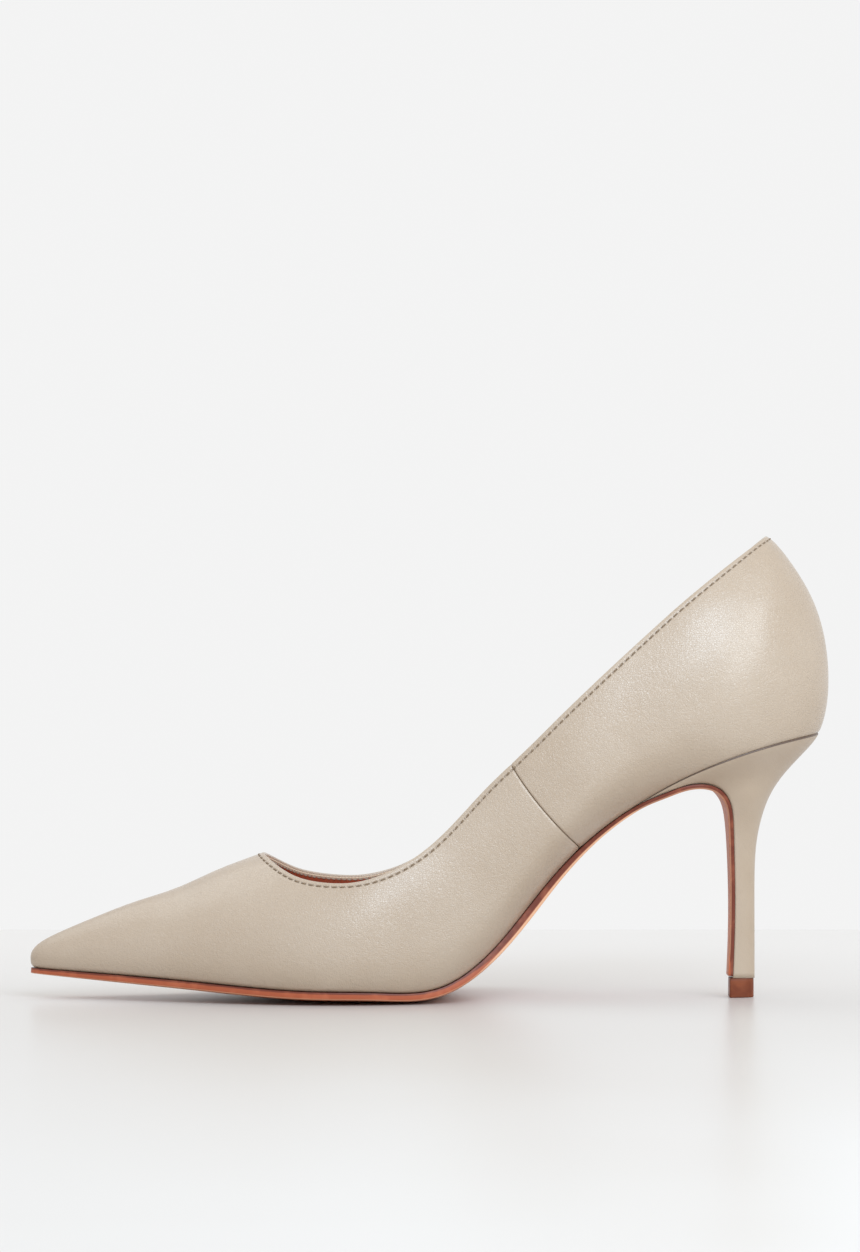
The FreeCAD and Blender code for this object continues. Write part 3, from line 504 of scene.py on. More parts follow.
def grainedLeather(f, mottle):
    # what every piece of the upper leather has: its tone with pores, and the height of its grain
    use = upperLeather
    broad, mid, fine = f.noise(26, 2.0), f.noise(5.5, 3.0, 0.55), f.noise(0.9, 2.0, 0.6)
    tone = f.mix(f.soft(broad, 0.35, 0.65), use["deep"], use["pale"])
    tone = f.mix(0.5, tone, use["colour"])
    if mottle:
        tone = f.mix(f.soft(mid, 0.45, 0.75) * mottle, tone, use["pale"])
    cellEdge = f.cells(use["grain"], "DISTANCE_TO_EDGE", random=0.9)
    pore = 1 - f.soft(cellEdge, 0.0, 0.09)
    tone = f.mix(pore * 0.1 * f.soft(mid, 0.3, 0.6), tone, use["poreAndShade"])
    height = f.soft(cellEdge, 0.0, 0.16) * 0.55 + fine * 0.45
    return tone, height, pore, mid, broad


def makeUpperLeather():
    use = upperLeather
    f = Finish("upperLeatherFinish", Specular_IOR_Level=use["shine"], Coat_Roughness=use["coatRough"])
    run, fall = f.layUv()
    tone, height, pore, mid, broad = grainedLeather(f, 0.25)
    # the cut edge at the topline is paler, and along the stitch line the leather gets a painted shadow
    # under each stitch and painted shade in its needle holes
    fromLine = abs(fall - use["stitchFrom"])
    sew = 1 - f.soft(fromLine, 0.1, 0.5)
    reach = abs((run / use["stitchPitch"]).part() - 0.5)
    half = 0.5 * use["stitchLong"] / use["stitchPitch"]
    under = sew * (1 - f.soft(reach, half, half + 0.05))
    punched = sew * (1 - f.soft(abs(reach - half - 0.02), 0.0, 0.07))
    # painted shadow under each stitch, and painted shade in the needle holes at its ends
    tone = f.mix(under * 0.35, tone, use["poreAndShade"])
    tone = f.mix(punched * 0.75, tone, use["hole"])
    tone = f.mix(1 - f.soft(fall, -0.35, -0.05), tone, use["edge"])
    wrinkle = f.cells(1.5, "DISTANCE_TO_EDGE", random=1.0)
    normal = f.bump(height, use["grainDepth"], 0.75)
    normal = f.bump(f.soft(wrinkle, 0.0, 0.3), 0.045, 0.6, normal)
    normal = f.bump(mid, 0.2, 0.6, normal)
    normal = f.bump(1 - punched * 0.6 - under * 0.4, 0.16, 0.7, normal)
    rough = use["sheen"] + (mid - 0.5) * 0.12 + pore * 0.08 + sew * 0.06
    return f.set(Base_Color=tone, Roughness=rough.held(), Normal=normal,
                 Coat_Weight=(use["coat"] + (broad - 0.5) * 0.12).held())


def closedSheet(name, outer, inner, uvOuter, uvInner, material):
    # two grids with the same rows become one closed thin shell; their top rows lie together
    cols, rows = outer.shape[:2]
    quads, corners = gridQuads(cols, rows)
    count = cols * rows
    points = np.concatenate([outer.reshape(-1, 3), inner.reshape(-1, 3)])
    uvA, uvB = uvOuter[corners[..., 0], corners[..., 1]], uvInner[corners[..., 0], corners[..., 1]]
    faces, uvs = [quads, quads[:, ::-1] + count], [uvA, uvB[:, ::-1]]
    flatOut, flatIn = uvOuter.reshape(-1, 2), uvInner.reshape(-1, 2)
    i, j = np.arange(cols - 1), np.arange(rows - 1)
    rims = [(i * rows, (i + 1) * rows), (np.zeros(1, int) + j, j + 1),
            ((cols - 1) * rows + j, (cols - 1) * rows + j + 1),
            (i * rows + rows - 1, (i + 1) * rows + rows - 1)]
    for a, b in rims:
        faces.append(np.stack([a, b, b + count, a + count], -1))
        uvs.append(np.stack([flatOut[a], flatOut[b], flatIn[b], flatIn[a]], 1))
    return makePiece(name, points, np.concatenate(faces), np.concatenate(uvs), material, weld=0.002)


def climbShare(a, length):
    # the wall share v that lies a given length above the feather line
    v = np.linspace(0, 0.6, 61)
    track = outerPoint(a[:, None], v[None, :])
    gone = np.cumsum(np.linalg.norm(np.diff(track, axis=1), axis=-1), axis=1)
    gone = np.concatenate([np.zeros((len(a), 1)), gone], 1)
    i = np.clip((gone < length[:, None]).sum(1), 1, 60)
    row = np.arange(len(a))
    return v[i] - (gone[row, i] - length) / (gone[row, i] - gone[row, i - 1]) * 0.01


marginShare = 0.62
marginRing = RingLine(toeX + 10.5, toeX + form["length"] - form["backOut"] - 10.0)


def marginXY(a):
    side, angle = sideAngle(a)
    x = marginRing.x(angle)
    return x, centreY(x) + side * marginShare * halfWidth(featherInner, featherOuter, side, angle)


seamV = np.linspace(0, 1, 101)
seamBow = 1.6            # how far the side seam bows forwards between its ends, in mm


def seamTurn(side):
    # the turn, at each wall share, that makes the seam an even curve in the side view
    turned = np.zeros(101)
    for _ in range(14):
        here = outerPoint(side * (seamAngle + turned), seamV)
        slope = (outerPoint(side * (seamAngle + turned + 0.01), seamV)[:, 0] - here[:, 0]) / 0.01
        share = (here[:, 2] - here[0, 2]) / (here[-1, 2] - here[0, 2])
        wanted = here[0, 0] + (here[-1, 0] - here[0, 0]) * share - 4 * seamBow * share * (1 - share)
        turned = turned + 0.55 * (wanted - here[:, 0]) / slope
        turned[[0, -1]] = 0
    return turned


seamTurns = {side: seamTurn(side) for side in (-1, 1)}


def seamLean(a, v):
    side, angle = sideAngle(a)
    shiftIn, shiftOut = (np.interp(v, seamV, seamTurns[s]) for s in (-1, 1))
    near = easeStep(1 - np.abs(angle - seamAngle) / 0.5)
    return a + side * np.where(side > 0, shiftOut, shiftIn) * near


def shareBelow(a, fall):
    # the wall share that lies a small distance below the topline
    one = np.ones_like(a)
    tall = np.linalg.norm(outerPoint(a, one) - outerPoint(a, one - topSpan), axis=-1)
    return 1 - fall * topSpan / tall


cornerReach = 1.5        # how far the rounded feather corner reaches along the margin and up the wall
marginLines, bendLines, wallLines = 5, 9, 31
wallCrowd = 1.15         # over 1 the wall's lines crowd towards the corner


def layerGrid(a, depth, falls, extra):
    # one layer of the lasted upper: a turned-under margin, a rounded corner, and the wall.
    # depth is per column, falls are distances below the topline, extra adds depth on the wall
    side, angle = sideAngle(a)
    fx, fy = featherXY(a)
    foot = np.stack([fx, fy, featherZ(fx)], -1)
    up, into = bottomUp(fx), wallNormal(a, np.full(len(a), 0.06))
    mitre = (up + into) / (1 + (up * into).sum(-1, keepdims=True))
    climbed = cornerReach + depth * np.sqrt(np.maximum(0, (mitre ** 2).sum(-1) - 1))
    vCorner = climbShare(a, climbed)
    corner = inward(foot, mitre, depth)
    gx, gy = marginXY(a)
    edge = np.stack([gx, gy, featherZ(gx)], -1) + bottomUp(gx) * depth[:, None]
    top = inward(outerPoint(a, vCorner), wallNormal(a, vCorner), depth)
    run = edge - corner
    near = corner + run * (cornerReach / np.linalg.norm(run, axis=-1, keepdims=True))
    k = (np.arange(marginLines) / marginLines)[None, :]
    x = edge[:, None, 0] + (near - edge)[:, None, 0] * k
    y = edge[:, None, 1] + (near - edge)[:, None, 1] * k
    even = (edge[:, 2] - featherZ(edge[:, 0]))[:, None]
    lift = (near[:, 2] - featherZ(near[:, 0]))[:, None]
    margin = np.stack([x, y, featherZ(x) + even + (lift - even) * k], -1)
    t = np.linspace(0, 1, bendLines)[None, :, None]
    bend = near[:, None] * (1 - t) ** 2 + corner[:, None] * 2 * t * (1 - t) + top[:, None] * t ** 2
    vTop = shareBelow(a[:, None], falls[None, :])
    vLow = vTop[:, -1:]
    k = (np.arange(1, wallLines) / wallLines)[None, :] ** wallCrowd
    v = np.concatenate([vCorner[:, None] + (vLow - vCorner[:, None]) * k, vTop[:, ::-1]], 1)
    aa = seamLean(np.broadcast_to(a[:, None], v.shape), v)
    surface = outerPoint(aa, v)
    step = np.linalg.norm(np.diff(surface[:, ::-1], axis=1), axis=-1)
    below = np.concatenate([np.zeros((len(a), 1)), np.cumsum(step, axis=1)], 1)[:, ::-1] + falls[0]
    wall = inward(surface, wallNormal(aa, v), depth[:, None] + extra(below))
    rest = below[:, :1] + np.arange(marginLines + bendLines, 0, -1)[None, :] * 1.2
    grid = np.concatenate([margin, bend, wall], 1)
    return grid, np.concatenate([rest, below], 1)


def joinTops(outer, inner):
    # the two top rows share their place, half way through the layer
    middle = (outer[:, -1] + inner[:, -1]) / 2
    outer[:, -1], inner[:, -1] = middle, middle


def toplineRun(a):
    # length along the stitch line, in mm, from the back of the shoe
    return np.interp(a, stitchTrack[0], stitchTrack[1])


def roundDrop(distance, radius):
    # how far a rounded edge drops: radius - sqrt(radius^2 - (radius - distance)^2)
    near = np.clip(radius - distance, 0, radius)
    return radius - np.sqrt(radius ** 2 - near ** 2)


fineAngles = np.linspace(-turn, turn, 2881)
stitchLine = outerPoint(fineAngles, shareBelow(fineAngles, upperLeather["stitchFrom"]))
stitchLengths = np.concatenate([[0], np.cumsum(np.linalg.norm(np.diff(stitchLine, axis=0), axis=-1))])
stitchTrack = (np.concatenate([fineAngles - 2 * turn, fineAngles[1:], fineAngles[1:] + 2 * turn]),
               np.concatenate([stitchLengths - stitchLengths[-1], stitchLengths[1:],
                               stitchLengths[1:] + stitchLengths[-1]]))
stitchCount = int(stitchLengths[-1] / upperLeather["stitchPitch"])
stitchStep = stitchLengths[-1] / stitchCount
upperLeather["stitchPitch"] = float(stitchStep)
print("topline", round(float(stitchLengths[-1]), 1), "mm long with", stitchCount, "stitches")


turnLength = 110.0       # about how many mm of wall one radian covers beside the seams


def sheetColumns(a0, a1, count):
    # angles round the shoe, closer together beside the seams
    a = np.linspace(a0, a1, count)
    near = np.array([0, 0.05, 0.13, 0.24, 0.38, 0.55, 0.8, 1.15, 1.6, 2.2, 3.0, 4.2])
    away, clear = near / turnLength, 5.2 / turnLength
    middle = a[(a > a0 + clear) & (a < a1 - clear)]
    a = np.concatenate([a0 + away, middle, a1 - away[::-1]])
    return a, np.minimum(a - a0, a1 - a) * turnLength


def upperSheet(name, a0, a1, count, node):
    use = upperLeather
    thick = use["thick"]
    a, beside = sheetColumns(a0, a1, count)
    falls = np.array([0, 0.03, 0.1, 0.2, 0.33, 0.5, 0.75, 1.0, 1.2, 1.35, 1.47, 1.58, 1.7, 1.82,
                      1.93, 2.05, 2.2, 2.45, 2.8, 3.3, 4.0, 5.0, 6.5])
    seam = roundDrop(beside, 0.5) + 0.1 * np.exp(-(beside / 1.4) ** 2)
    half = thick / 2

    behind = np.where(a > turn / 2, beside, -99)[:, None]

    def outside(below):
        groove = 0.13 * np.exp(-((below - use["stitchFrom"]) / 0.33) ** 2)
        # the folded seam allowance pushes the quarter out a little under the topline
        pucker = use["pucker"] * np.exp(-((below - 4.6) / 2.3) ** 2 - ((behind - 3.4) / 2.4) ** 2)
        return roundDrop(below, half) + groove * (beside[:, None] > 0.3) - pucker

    def within(below):
        return -roundDrop(below, half)

    outer, fallOut = layerGrid(a, seam, falls, outside)
    inner, fallIn = layerGrid(a, np.full(len(a), thick), falls, within)
    joinTops(outer, inner)
    run = np.broadcast_to(toplineRun(a)[:, None], fallOut.shape)
    uvOut = np.stack([run, fallOut], -1)
    uvIn = np.stack([run, -1.0 - fallIn], -1)
    uvOut[:, -1, 1] = -0.5
    piece = closedSheet(name, outer, inner, uvOut, uvIn, leather)
    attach(piece, "root")
    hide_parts(node)


leather = makeUpperLeather()
seamGap = 0.0004
upperSheet("vampLeather", -seamAngle + seamGap, seamAngle - seamGap, 300, "vamp")
upperSheet("heelQuarterLeather", seamAngle + seamGap, 2 * turn - seamAngle - seamGap, 200,
           "heel_quarter")


# topline: tape, thread and linings
toplineMake = {
    "threadHalf": 0.2, "threadColour": paint(120, 100, 80), "threadPale": paint(148, 126, 102),
    "tapeColour": paint(222, 202, 180), "tapeShade": paint(206, 184, 158),
    "tapeTop": 0.3, "tapeDeep": 3.4,
    "liningNear": 1.75, "liningFar": 2.5, "liningTop": 0.5, "liningSeam": 1.851,
    "liningColour": paint(188, 106, 78), "liningDeep": paint(174, 94, 68),
    "liningPale": paint(200, 134, 106), "liningPore": paint(120, 66, 46),
    # the fold colours are painted shade on the turned-in leather; foldShade paints the shadow line along
    # its edge
    "foldShadedColour": paint(158, 143, 127), "foldShadedDeep": paint(144, 127, 110),
    "foldShade": paint(110, 56, 38), "foldWide": 1.05, "zigPitch": 2.0, "zigDeep": 1.1,
}


def makeTapeFinish():
    f = Finish("toplineTape", Specular_IOR_Level=0.25)
    run, fall = f.layUv()
    weave = (run * 5.2).sine() * (fall * 5.2).sine()
    tone = f.mix(f.soft(weave, -0.6, 0.8), toplineMake["tapeShade"], toplineMake["tapeColour"])
    return f.set(Base_Color=tone, Roughness=0.72 + weave * 0.05, Normal=f.bump(weave, 0.05, 0.6))


def makeThreadFinish():
    f = Finish("stitchThread", Specular_IOR_Level=0.35)
    run, across = f.layUv()
    ply = ((run * 2.4 + across * 6.28) * 2.0).sine()
    tone = f.mix(f.soft(ply, -0.7, 0.7), toplineMake["threadColour"], toplineMake["threadPale"])
    return f.set(Base_Color=tone, Roughness=0.55 + ply * 0.06, Normal=f.bump(ply, 0.05, 0.7))


def makeLiningFinish():
    use = toplineMake
    f = Finish("liningLeather", Specular_IOR_Level=0.3)
    run, fall = f.layUv()
    broad, mid, fine = f.noise(22, 2.0), f.noise(3.2, 3.0), f.noise(0.7, 2.0)
    pore = 1 - f.soft(f.cells(1.5, "F1"), 0.05, 0.2)
    tone = f.mix(f.soft(broad, 0.3, 0.7), use["liningDeep"], use["liningColour"])
    tone = f.mix(f.soft(mid, 0.45, 0.8) * 0.3, tone, use["liningPale"])
    tone = f.mix(pore * 0.35, tone, use["liningPore"])
    # the upper leather folds over the topline and its inner edge is cut in a zigzag
    zigzag = abs((run / use["zigPitch"]).part() - 0.5) * use["zigDeep"]
    fold = 1 - f.soft(fall - use["foldWide"] + zigzag, -0.08, 0.08)
    ridge = 1 - f.soft(abs(fall - use["foldWide"] + zigzag), 0.0, 0.3)
    # painted shade: the fold takes darker, greyer copies of the upper's leather colour, and a painted
    # shadow line follows its zigzag edge
    tone = f.mix(fold, tone, f.mix(f.soft(mid, 0.4, 0.7), use["foldShadedDeep"], use["foldShadedColour"]))
    tone = f.mix(ridge * 0.55, tone, use["foldShade"])
    height = fold * 0.7 + fine * 0.2 + (1 - pore) * 0.1
    rough = 0.56 + (mid - 0.5) * 0.12 - fold * 0.06
    return f.set(Base_Color=tone, Roughness=rough.held(), Normal=f.bump(height, 0.22, 0.6))


def wallSheet(name, a0, a1, count, near, far, falls, material, node):
    # a narrow band below the topline, between two depths
    a = np.linspace(a0, a1, count)[:, None]
    falls = np.asarray(falls, float)[None, ::-1]
    v = shareBelow(a, falls)
    aa = np.broadcast_to(a, v.shape)
    surface, normal = outerPoint(aa, v), wallNormal(aa, v)
    half = (far - near) / 2
    drop = np.broadcast_to(roundDrop(falls - falls.min(), half), v.shape)
    outer, inner = inward(surface, normal, near + drop), inward(surface, normal, far - drop)
    run = np.broadcast_to(toplineRun(a), v.shape)
    uv = np.stack([run, np.broadcast_to(falls, v.shape)], -1)
    piece = closedSheet(name, outer, inner, uv, uv, material)
    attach(piece, "root")
    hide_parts(node)


def liningSheet(name, a0, a1, count, node, material):
    use = toplineMake
    near, far = use["liningNear"], use["liningFar"]
    a = np.linspace(a0, a1, count)
    falls = use["liningTop"] + np.array([0, 0.04, 0.12, 0.25, 0.37, 0.6, 0.9, 1.2, 1.5, 1.8, 2.2, 2.8,
                                         3.6, 5.0])
    half = (far - near) / 2
    gridA, fallA = layerGrid(a, np.full(count, near), falls,
                             lambda below: roundDrop(below - falls[0], half))
    gridB, fallB = layerGrid(a, np.full(count, far), falls,
                             lambda below: -roundDrop(below - falls[0], half))
    joinTops(gridA, gridB)
    run = np.broadcast_to(toplineRun(a)[:, None], fallA.shape)
    piece = closedSheet(name, gridA, gridB, np.stack([run, fallA], -1), np.stack([run, fallB], -1),
                        material)
    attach(piece, "root")
    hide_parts(node)


def makeStitches():
    # each stitch is a short bent bar: a ring of six points at five stations, ends sunk in the leather
    use, lay = toplineMake, upperLeather
    share = np.array([-1.0, -0.72, 0.0, 0.72, 1.0])
    thin = np.array([0.45, 0.95, 1.0, 0.95, 0.45])
    sunk = np.array([0.42, 0.08, -0.02, 0.08, 0.42])
    number = np.arange(stitchCount)
    run = (number[:, None] + 0.5) * stitchStep + share[None, :] * (lay["stitchLong"] / 2 + 0.06)
    a = np.interp(run, stitchLengths, fineAngles)
    fall = lay["stitchFrom"] + 0.1 * share[None, :] + 0 * run
    v = shareBelow(a, fall)
    normal = wallNormal(a, v)
    centre = inward(outerPoint(a, v), normal, sunk[None, :] + 0 * run)
    forward = unitRows(outerPoint(a + 0.002, v) - outerPoint(a - 0.002, v))
    across = unitRows(np.cross(normal, forward))
    turnRound = np.arange(6) / 6 * 2 * turn
    ring = (across[:, :, None] * (np.cos(turnRound)[:, None] * use["threadHalf"])
            + normal[:, :, None] * (np.sin(turnRound)[:, None] * use["threadHalf"] * 0.8))
    points = centre[:, :, None] + ring * thin[None, :, None, None]
    quads, corners = gridQuads(5, 6, closeCols=True)
    ends = np.array([[0, 1, 2, 3], [0, 3, 4, 5], [27, 26, 25, 24], [29, 28, 27, 24]])
    faces = np.concatenate([quads, ends])
    faces = (faces[None] + number[:, None, None] * 30).reshape(-1, 4)
    uvOne = np.concatenate([corners[..., ::1] / np.array([1.5, 6.0]), np.zeros((4, 4, 2))])
    uvs = np.broadcast_to(uvOne[None], (stitchCount, *uvOne.shape)).reshape(-1, 4, 2)
    piece = makePiece("toplineStitches", points, faces, uvs, makeThreadFinish(), tidy=True)
    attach(piece, "root")
    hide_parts("topline_stitching")


liningLeather = makeLiningFinish()
tapeDeep = np.linspace(0, 1, 12) ** 1.6 * (toplineMake["tapeDeep"] - toplineMake["tapeTop"])
wallSheet("toplineTapeBand", -turn + 0.002, turn - 0.002, 420, 1.14, 1.72,
          toplineMake["tapeTop"] + tapeDeep, makeTapeFinish(), "topline_tape")
liningJoin = toplineMake["liningSeam"]
liningSheet("vampLining", -liningJoin + seamGap, liningJoin - seamGap, 200, "vamp_lining", liningLeather)
liningSheet("quarterLining", liningJoin + seamGap, 2 * turn - liningJoin - seamGap, 150,
            "quarter_lining", liningLeather)
makeStitches()


# sock lining and its foam pads
inside = {
    "marginTop": 2.55, "insole": 1.5, "foam": 1.6, "sock": 0.8, "ramp": 12.0,
    "frontPad": (0.16, 0.44), "heelPad": (0.83, 0.92),
    "sockFrom": 0.03, "sockTo": 0.968,
    "sockColour": paint(196, 130, 100), "sockDeep": paint(176, 108, 80),
    "sockPale": paint(208, 148, 120), "sockPore": paint(130, 76, 54),
    "foamColour": paint(240, 233, 216), "foamDeep": paint(214, 205, 186),
    "foamAged": paint(228, 214, 182),
}
boardTop = inside["marginTop"] + inside["insole"]


def padShare(x, ends):
    x0, x1 = along(ends[0]), along(ends[1])
    return easeStep(np.minimum(1 - (x0 - x) / inside["ramp"], 1 - (x - x1) / inside["ramp"]))


def sockBase(x):
    return boardTop + 0.05 + inside["foam"] * (padShare(x, inside["frontPad"])
                                               + padShare(x, inside["heelPad"]))


def innerEdge(x, side, depth, height):
    # the point of a layer's wall, at a depth below the leather, that is a height above the feather
    angle = featherRing.angle(x)
    a = side * angle
    v = np.linspace(0.01, 0.45, 90)
    aa, vv = np.broadcast_arrays(a[:, None], v[None, :])
    wall = inward(outerPoint(aa, vv), wallNormal(aa, vv), np.full(aa.shape, depth))
    over = (wall[..., 2] - featherZ(wall[..., 0])) * bottomUp(wall[..., 0])[..., 2]
    i = np.clip((over < height[:, None]).sum(1), 1, 89)
    row = np.arange(len(x))
    t = np.clip((height - over[row, i - 1]) / (over[row, i] - over[row, i - 1]), 0, 1)[:, None]
    return wall[row, i - 1] * (1 - t) + wall[row, i] * t


def flatPiece(name, x, low, high, inset, rows, material):
    # a closed flat form between two heights above the feather line, drawn in a little from the wall
    height = (low(x) + high(x)) / 2
    sides = [innerEdge(x, s, toplineMake["liningFar"] + inset, height) for s in (-1, 1)]
    spread = np.linspace(-1, 1, rows)
    half = (high(x) - low(x)) / 2
    loops = []
    for top in (True, False):
        t = spread if top else spread[::-1]
        share = (t + 1) / 2
        flat = sides[0][:, None] * (1 - share[None, :, None]) + sides[1][:, None] * share[None, :, None]
        gap = np.linalg.norm(sides[1] - sides[0], axis=-1)[:, None] * (1 - np.abs(t)[None, :]) / 2
        soft = 1 - roundDrop(gap, 0.4) / 0.4
        level = height[:, None] + (1 if top else -1) * half[:, None] * soft
        px = flat[..., 0]
        loops.append(np.stack([px, flat[..., 1], featherZ(px) + level / bottomUp(px)[..., 2]], -1))
    grid = np.concatenate([loops[0], loops[1][:, 1:-1]], 1)
    # the two ends are drawn to a line so that the form closes
    for end in (0, -1):
        grid[end, :, 2] = grid[end, :, 2].mean()
        grid[end, :, 1] = grid[end, :, 1].mean()
        grid[end, :, 0] = grid[end, :, 0].mean()
    lines = np.stack(np.meshgrid(x, np.linspace(0, 1, grid.shape[1] + 1), indexing="ij"), -1)
    piece = gridPiece(name, grid, lines, material, closeCols=True, weld=0.002)
    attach(piece, "root")
    return piece


def makeSockFinish():
    f = Finish("sockLeather", Specular_IOR_Level=0.32)
    broad, mid, fine = f.noise(24, 2.0), f.noise(4.0, 3.0), f.noise(0.8, 2.0)
    grainEdge = f.cells(0.8, "DISTANCE_TO_EDGE")
    tone = f.mix(f.soft(broad, 0.3, 0.7), inside["sockDeep"], inside["sockColour"])
    tone = f.mix(f.soft(mid, 0.5, 0.8) * 0.25, tone, inside["sockPale"])
    tone = f.mix((1 - f.soft(grainEdge, 0.0, 0.1)) * 0.2, tone, inside["sockPore"])
    height = f.soft(grainEdge, 0.0, 0.2) * 0.6 + fine * 0.4
    return f.set(Base_Color=tone, Roughness=(0.52 + (mid - 0.5) * 0.14).held(),
                 Normal=f.bump(height, 0.07, 0.6))


def makeFoamFinish():
    f = Finish("padFoam", Specular_IOR_Level=0.2)
    hollow = f.cells(0.5, "F1")
    broad = f.noise(8, 2.0)
    tone = f.mix(f.soft(hollow, 0.1, 0.5), inside["foamDeep"], inside["foamColour"])
    tone = f.mix(f.soft(broad, 0.4, 0.7) * 0.3, tone, inside["foamAged"])
    return f.set(Base_Color=tone, Roughness=0.85 + (broad - 0.5) * 0.1,
                 Normal=f.bump(hollow, 0.15, 0.7))


sockX = along(inside["sockFrom"]) + (along(inside["sockTo"]) - along(inside["sockFrom"])) * (
    1 - np.cos(np.linspace(0, turn, 190))) / 2
sock = flatPiece("sockLining", sockX, sockBase, lambda x: sockBase(x) + inside["sock"], 0.12, 41,
                 makeSockFinish())
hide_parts("sock_lining")
foamFinish = makeFoamFinish()
for padName, ends, node in (("forefootPad", inside["frontPad"], "forefoot_cushion"),
                            ("heelPad", inside["heelPad"], "heel_cushion")):
    reach = inside["ramp"] * 0.72
    padX = np.linspace(along(ends[0]) - reach, along(ends[1]) + reach, 60)
    padPiece = flatPiece(padName, padX, lambda x: boardTop + 0.02 + 0 * x,
                         lambda x: np.maximum(boardTop + 0.06, sockBase(x) - 0.04), 1.6, 25,
                         foamFinish)
    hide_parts(node)


# heel
heelMake = {
    "front": 0.735, "split": 0.764, "cover": 0.7, "depths": 72, "columns": 40, "tip": 1.4,
    # the seat colour paints the shadow line along the heel seat
    "seatShade": paint(74, 50, 36), "shine": 0.8, "coat": 0.1, "coatRough": 0.3,
    "backFlare": [(-3, 21.9), (0, 19.4), (1.2, 18.5), (3.9, 15.1), (7.2, 10.6), (10.9, 6.8),
                  (14.3, 4.5), (18.7, 2.6), (23, 1.4), (27.4, 0.6), (33, 0.15), (45, 0.0), (90, 0.0)],
    "sideFlare": [(-3, 21.0), (0, 19.7), (2.5, 17.9), (5, 15.8), (10, 11.6), (15, 8.4), (20, 6.1),
                  (28, 3.3), (36, 1.7), (46, 0.6), (60, 0.1), (90, 0.0)],
}
seatZ = float(featherZ((stemFront + stemBack) / 2))
heelFrontX, splitX = along(heelMake["front"]), along(heelMake["split"])
seatAngle = float(featherRing.angle(heelFrontX))
backFlare, sideFlare = SplineLine(heelMake["backFlare"]), SplineLine(heelMake["sideFlare"])
frontReach = SplineLine([
    (-3, heelFrontX - 1), (0, heelFrontX), (3, heelFrontX + 0.5), (6, heelFrontX + 5),
    (12, stemFront - 9), (20, stemFront - 5), (30, stemFront - 4), (90, stemFront - 4)])
tiltShare = SplineLine([(-3, 1.0), (0, 1.0), (6, 0.7), (14, 0.38), (24, 0.1), (32, 0.0), (90, 0.0)])
stemRound = SplineLine([(-3, 0.0), (0, 0.0), (3, 0.08), (10, 0.55), (20, 0.95), (26, 1.0), (90, 1.0)])


def heelPoint(depth, c, side):
    # the heel's side at a depth below the seat; c runs from the back (0) to the front (1)
    depth, c = np.broadcast_arrays(np.asarray(depth, float), np.asarray(c, float))
    back = stemBack + backFlare(depth)
    front = frontReach(depth)
    blend = stemRound(depth)
    angle = turn - (turn - seatAngle) * c
    share = (featherRing.x(angle) - heelFrontX) / (featherRing.back - heelFrontX)
    wide = halfWidth(featherInner, featherOuter, side, angle) / form["seatHalf"]
    share = (1 - blend) * share + blend * np.cos(c * turn / 2)
    wide = (1 - blend) * wide + blend * np.sin(c * turn / 2) ** 0.85
    x = front + (back - front) * share
    half = form["stemHalf"] + sideFlare(depth)
    y = centreY(x) * (1 - blend) + side * np.maximum(0, half * wide)
    return np.stack([x, y, seatZ - depth + (featherZ(x) - seatZ) * tiltShare(depth)], -1)


def heelDepth(x, z):
    depth = np.maximum(0, featherZ(x) - z)
    for _ in range(60):
        depth = 0.5 * depth + 0.5 * np.clip(seatZ - z + (featherZ(x) - seatZ) * tiltShare(depth), -3, 90)
    return depth


def heelShare(depth, x, side):
    # the c whose point has this x, found by halving
    low, high = np.zeros_like(depth), np.ones_like(depth)
    for _ in range(26):
        mid = (low + high) / 2
        further = heelPoint(depth, mid, side)[..., 0] > x
        low, high = np.where(further, mid, low), np.where(further, high, mid)
    return (low + high) / 2


breastSpine = np.array([
    [splitX - 6.0, 0], [splitX, 0], [stemFront - 19.9, seatZ - 11.9], [stemFront - 13.5, seatZ - 9.6],
    [stemFront - 8.1, seatZ - 9.15], [stemFront - 3.0, seatZ - 10.9], [stemFront + 0.2, seatZ - 15.2],
    [stemFront + 1.2, seatZ - 20.1], [stemFront + 1.6, seatZ - 26.2], [stemFront + 2.0, seatZ - 38.4],
    [stemFront + 2.0, seatZ - 53.4], [stemFront + 1.5, form["liftHeight"] + 0.7]])
breastSpine[0] = sidePoint(splitX - 6.0, -0.05)[[0, 2]]
breastSpine[1] = sidePoint(splitX, -0.3)[[0, 2]]
breastRun = np.concatenate([[0], np.cumsum(np.linalg.norm(np.diff(breastSpine, axis=0), axis=-1))])
breastX = SplineLine(list(zip(breastRun, breastSpine[:, 0])))
breastZ = SplineLine(list(zip(breastRun, breastSpine[:, 1])))


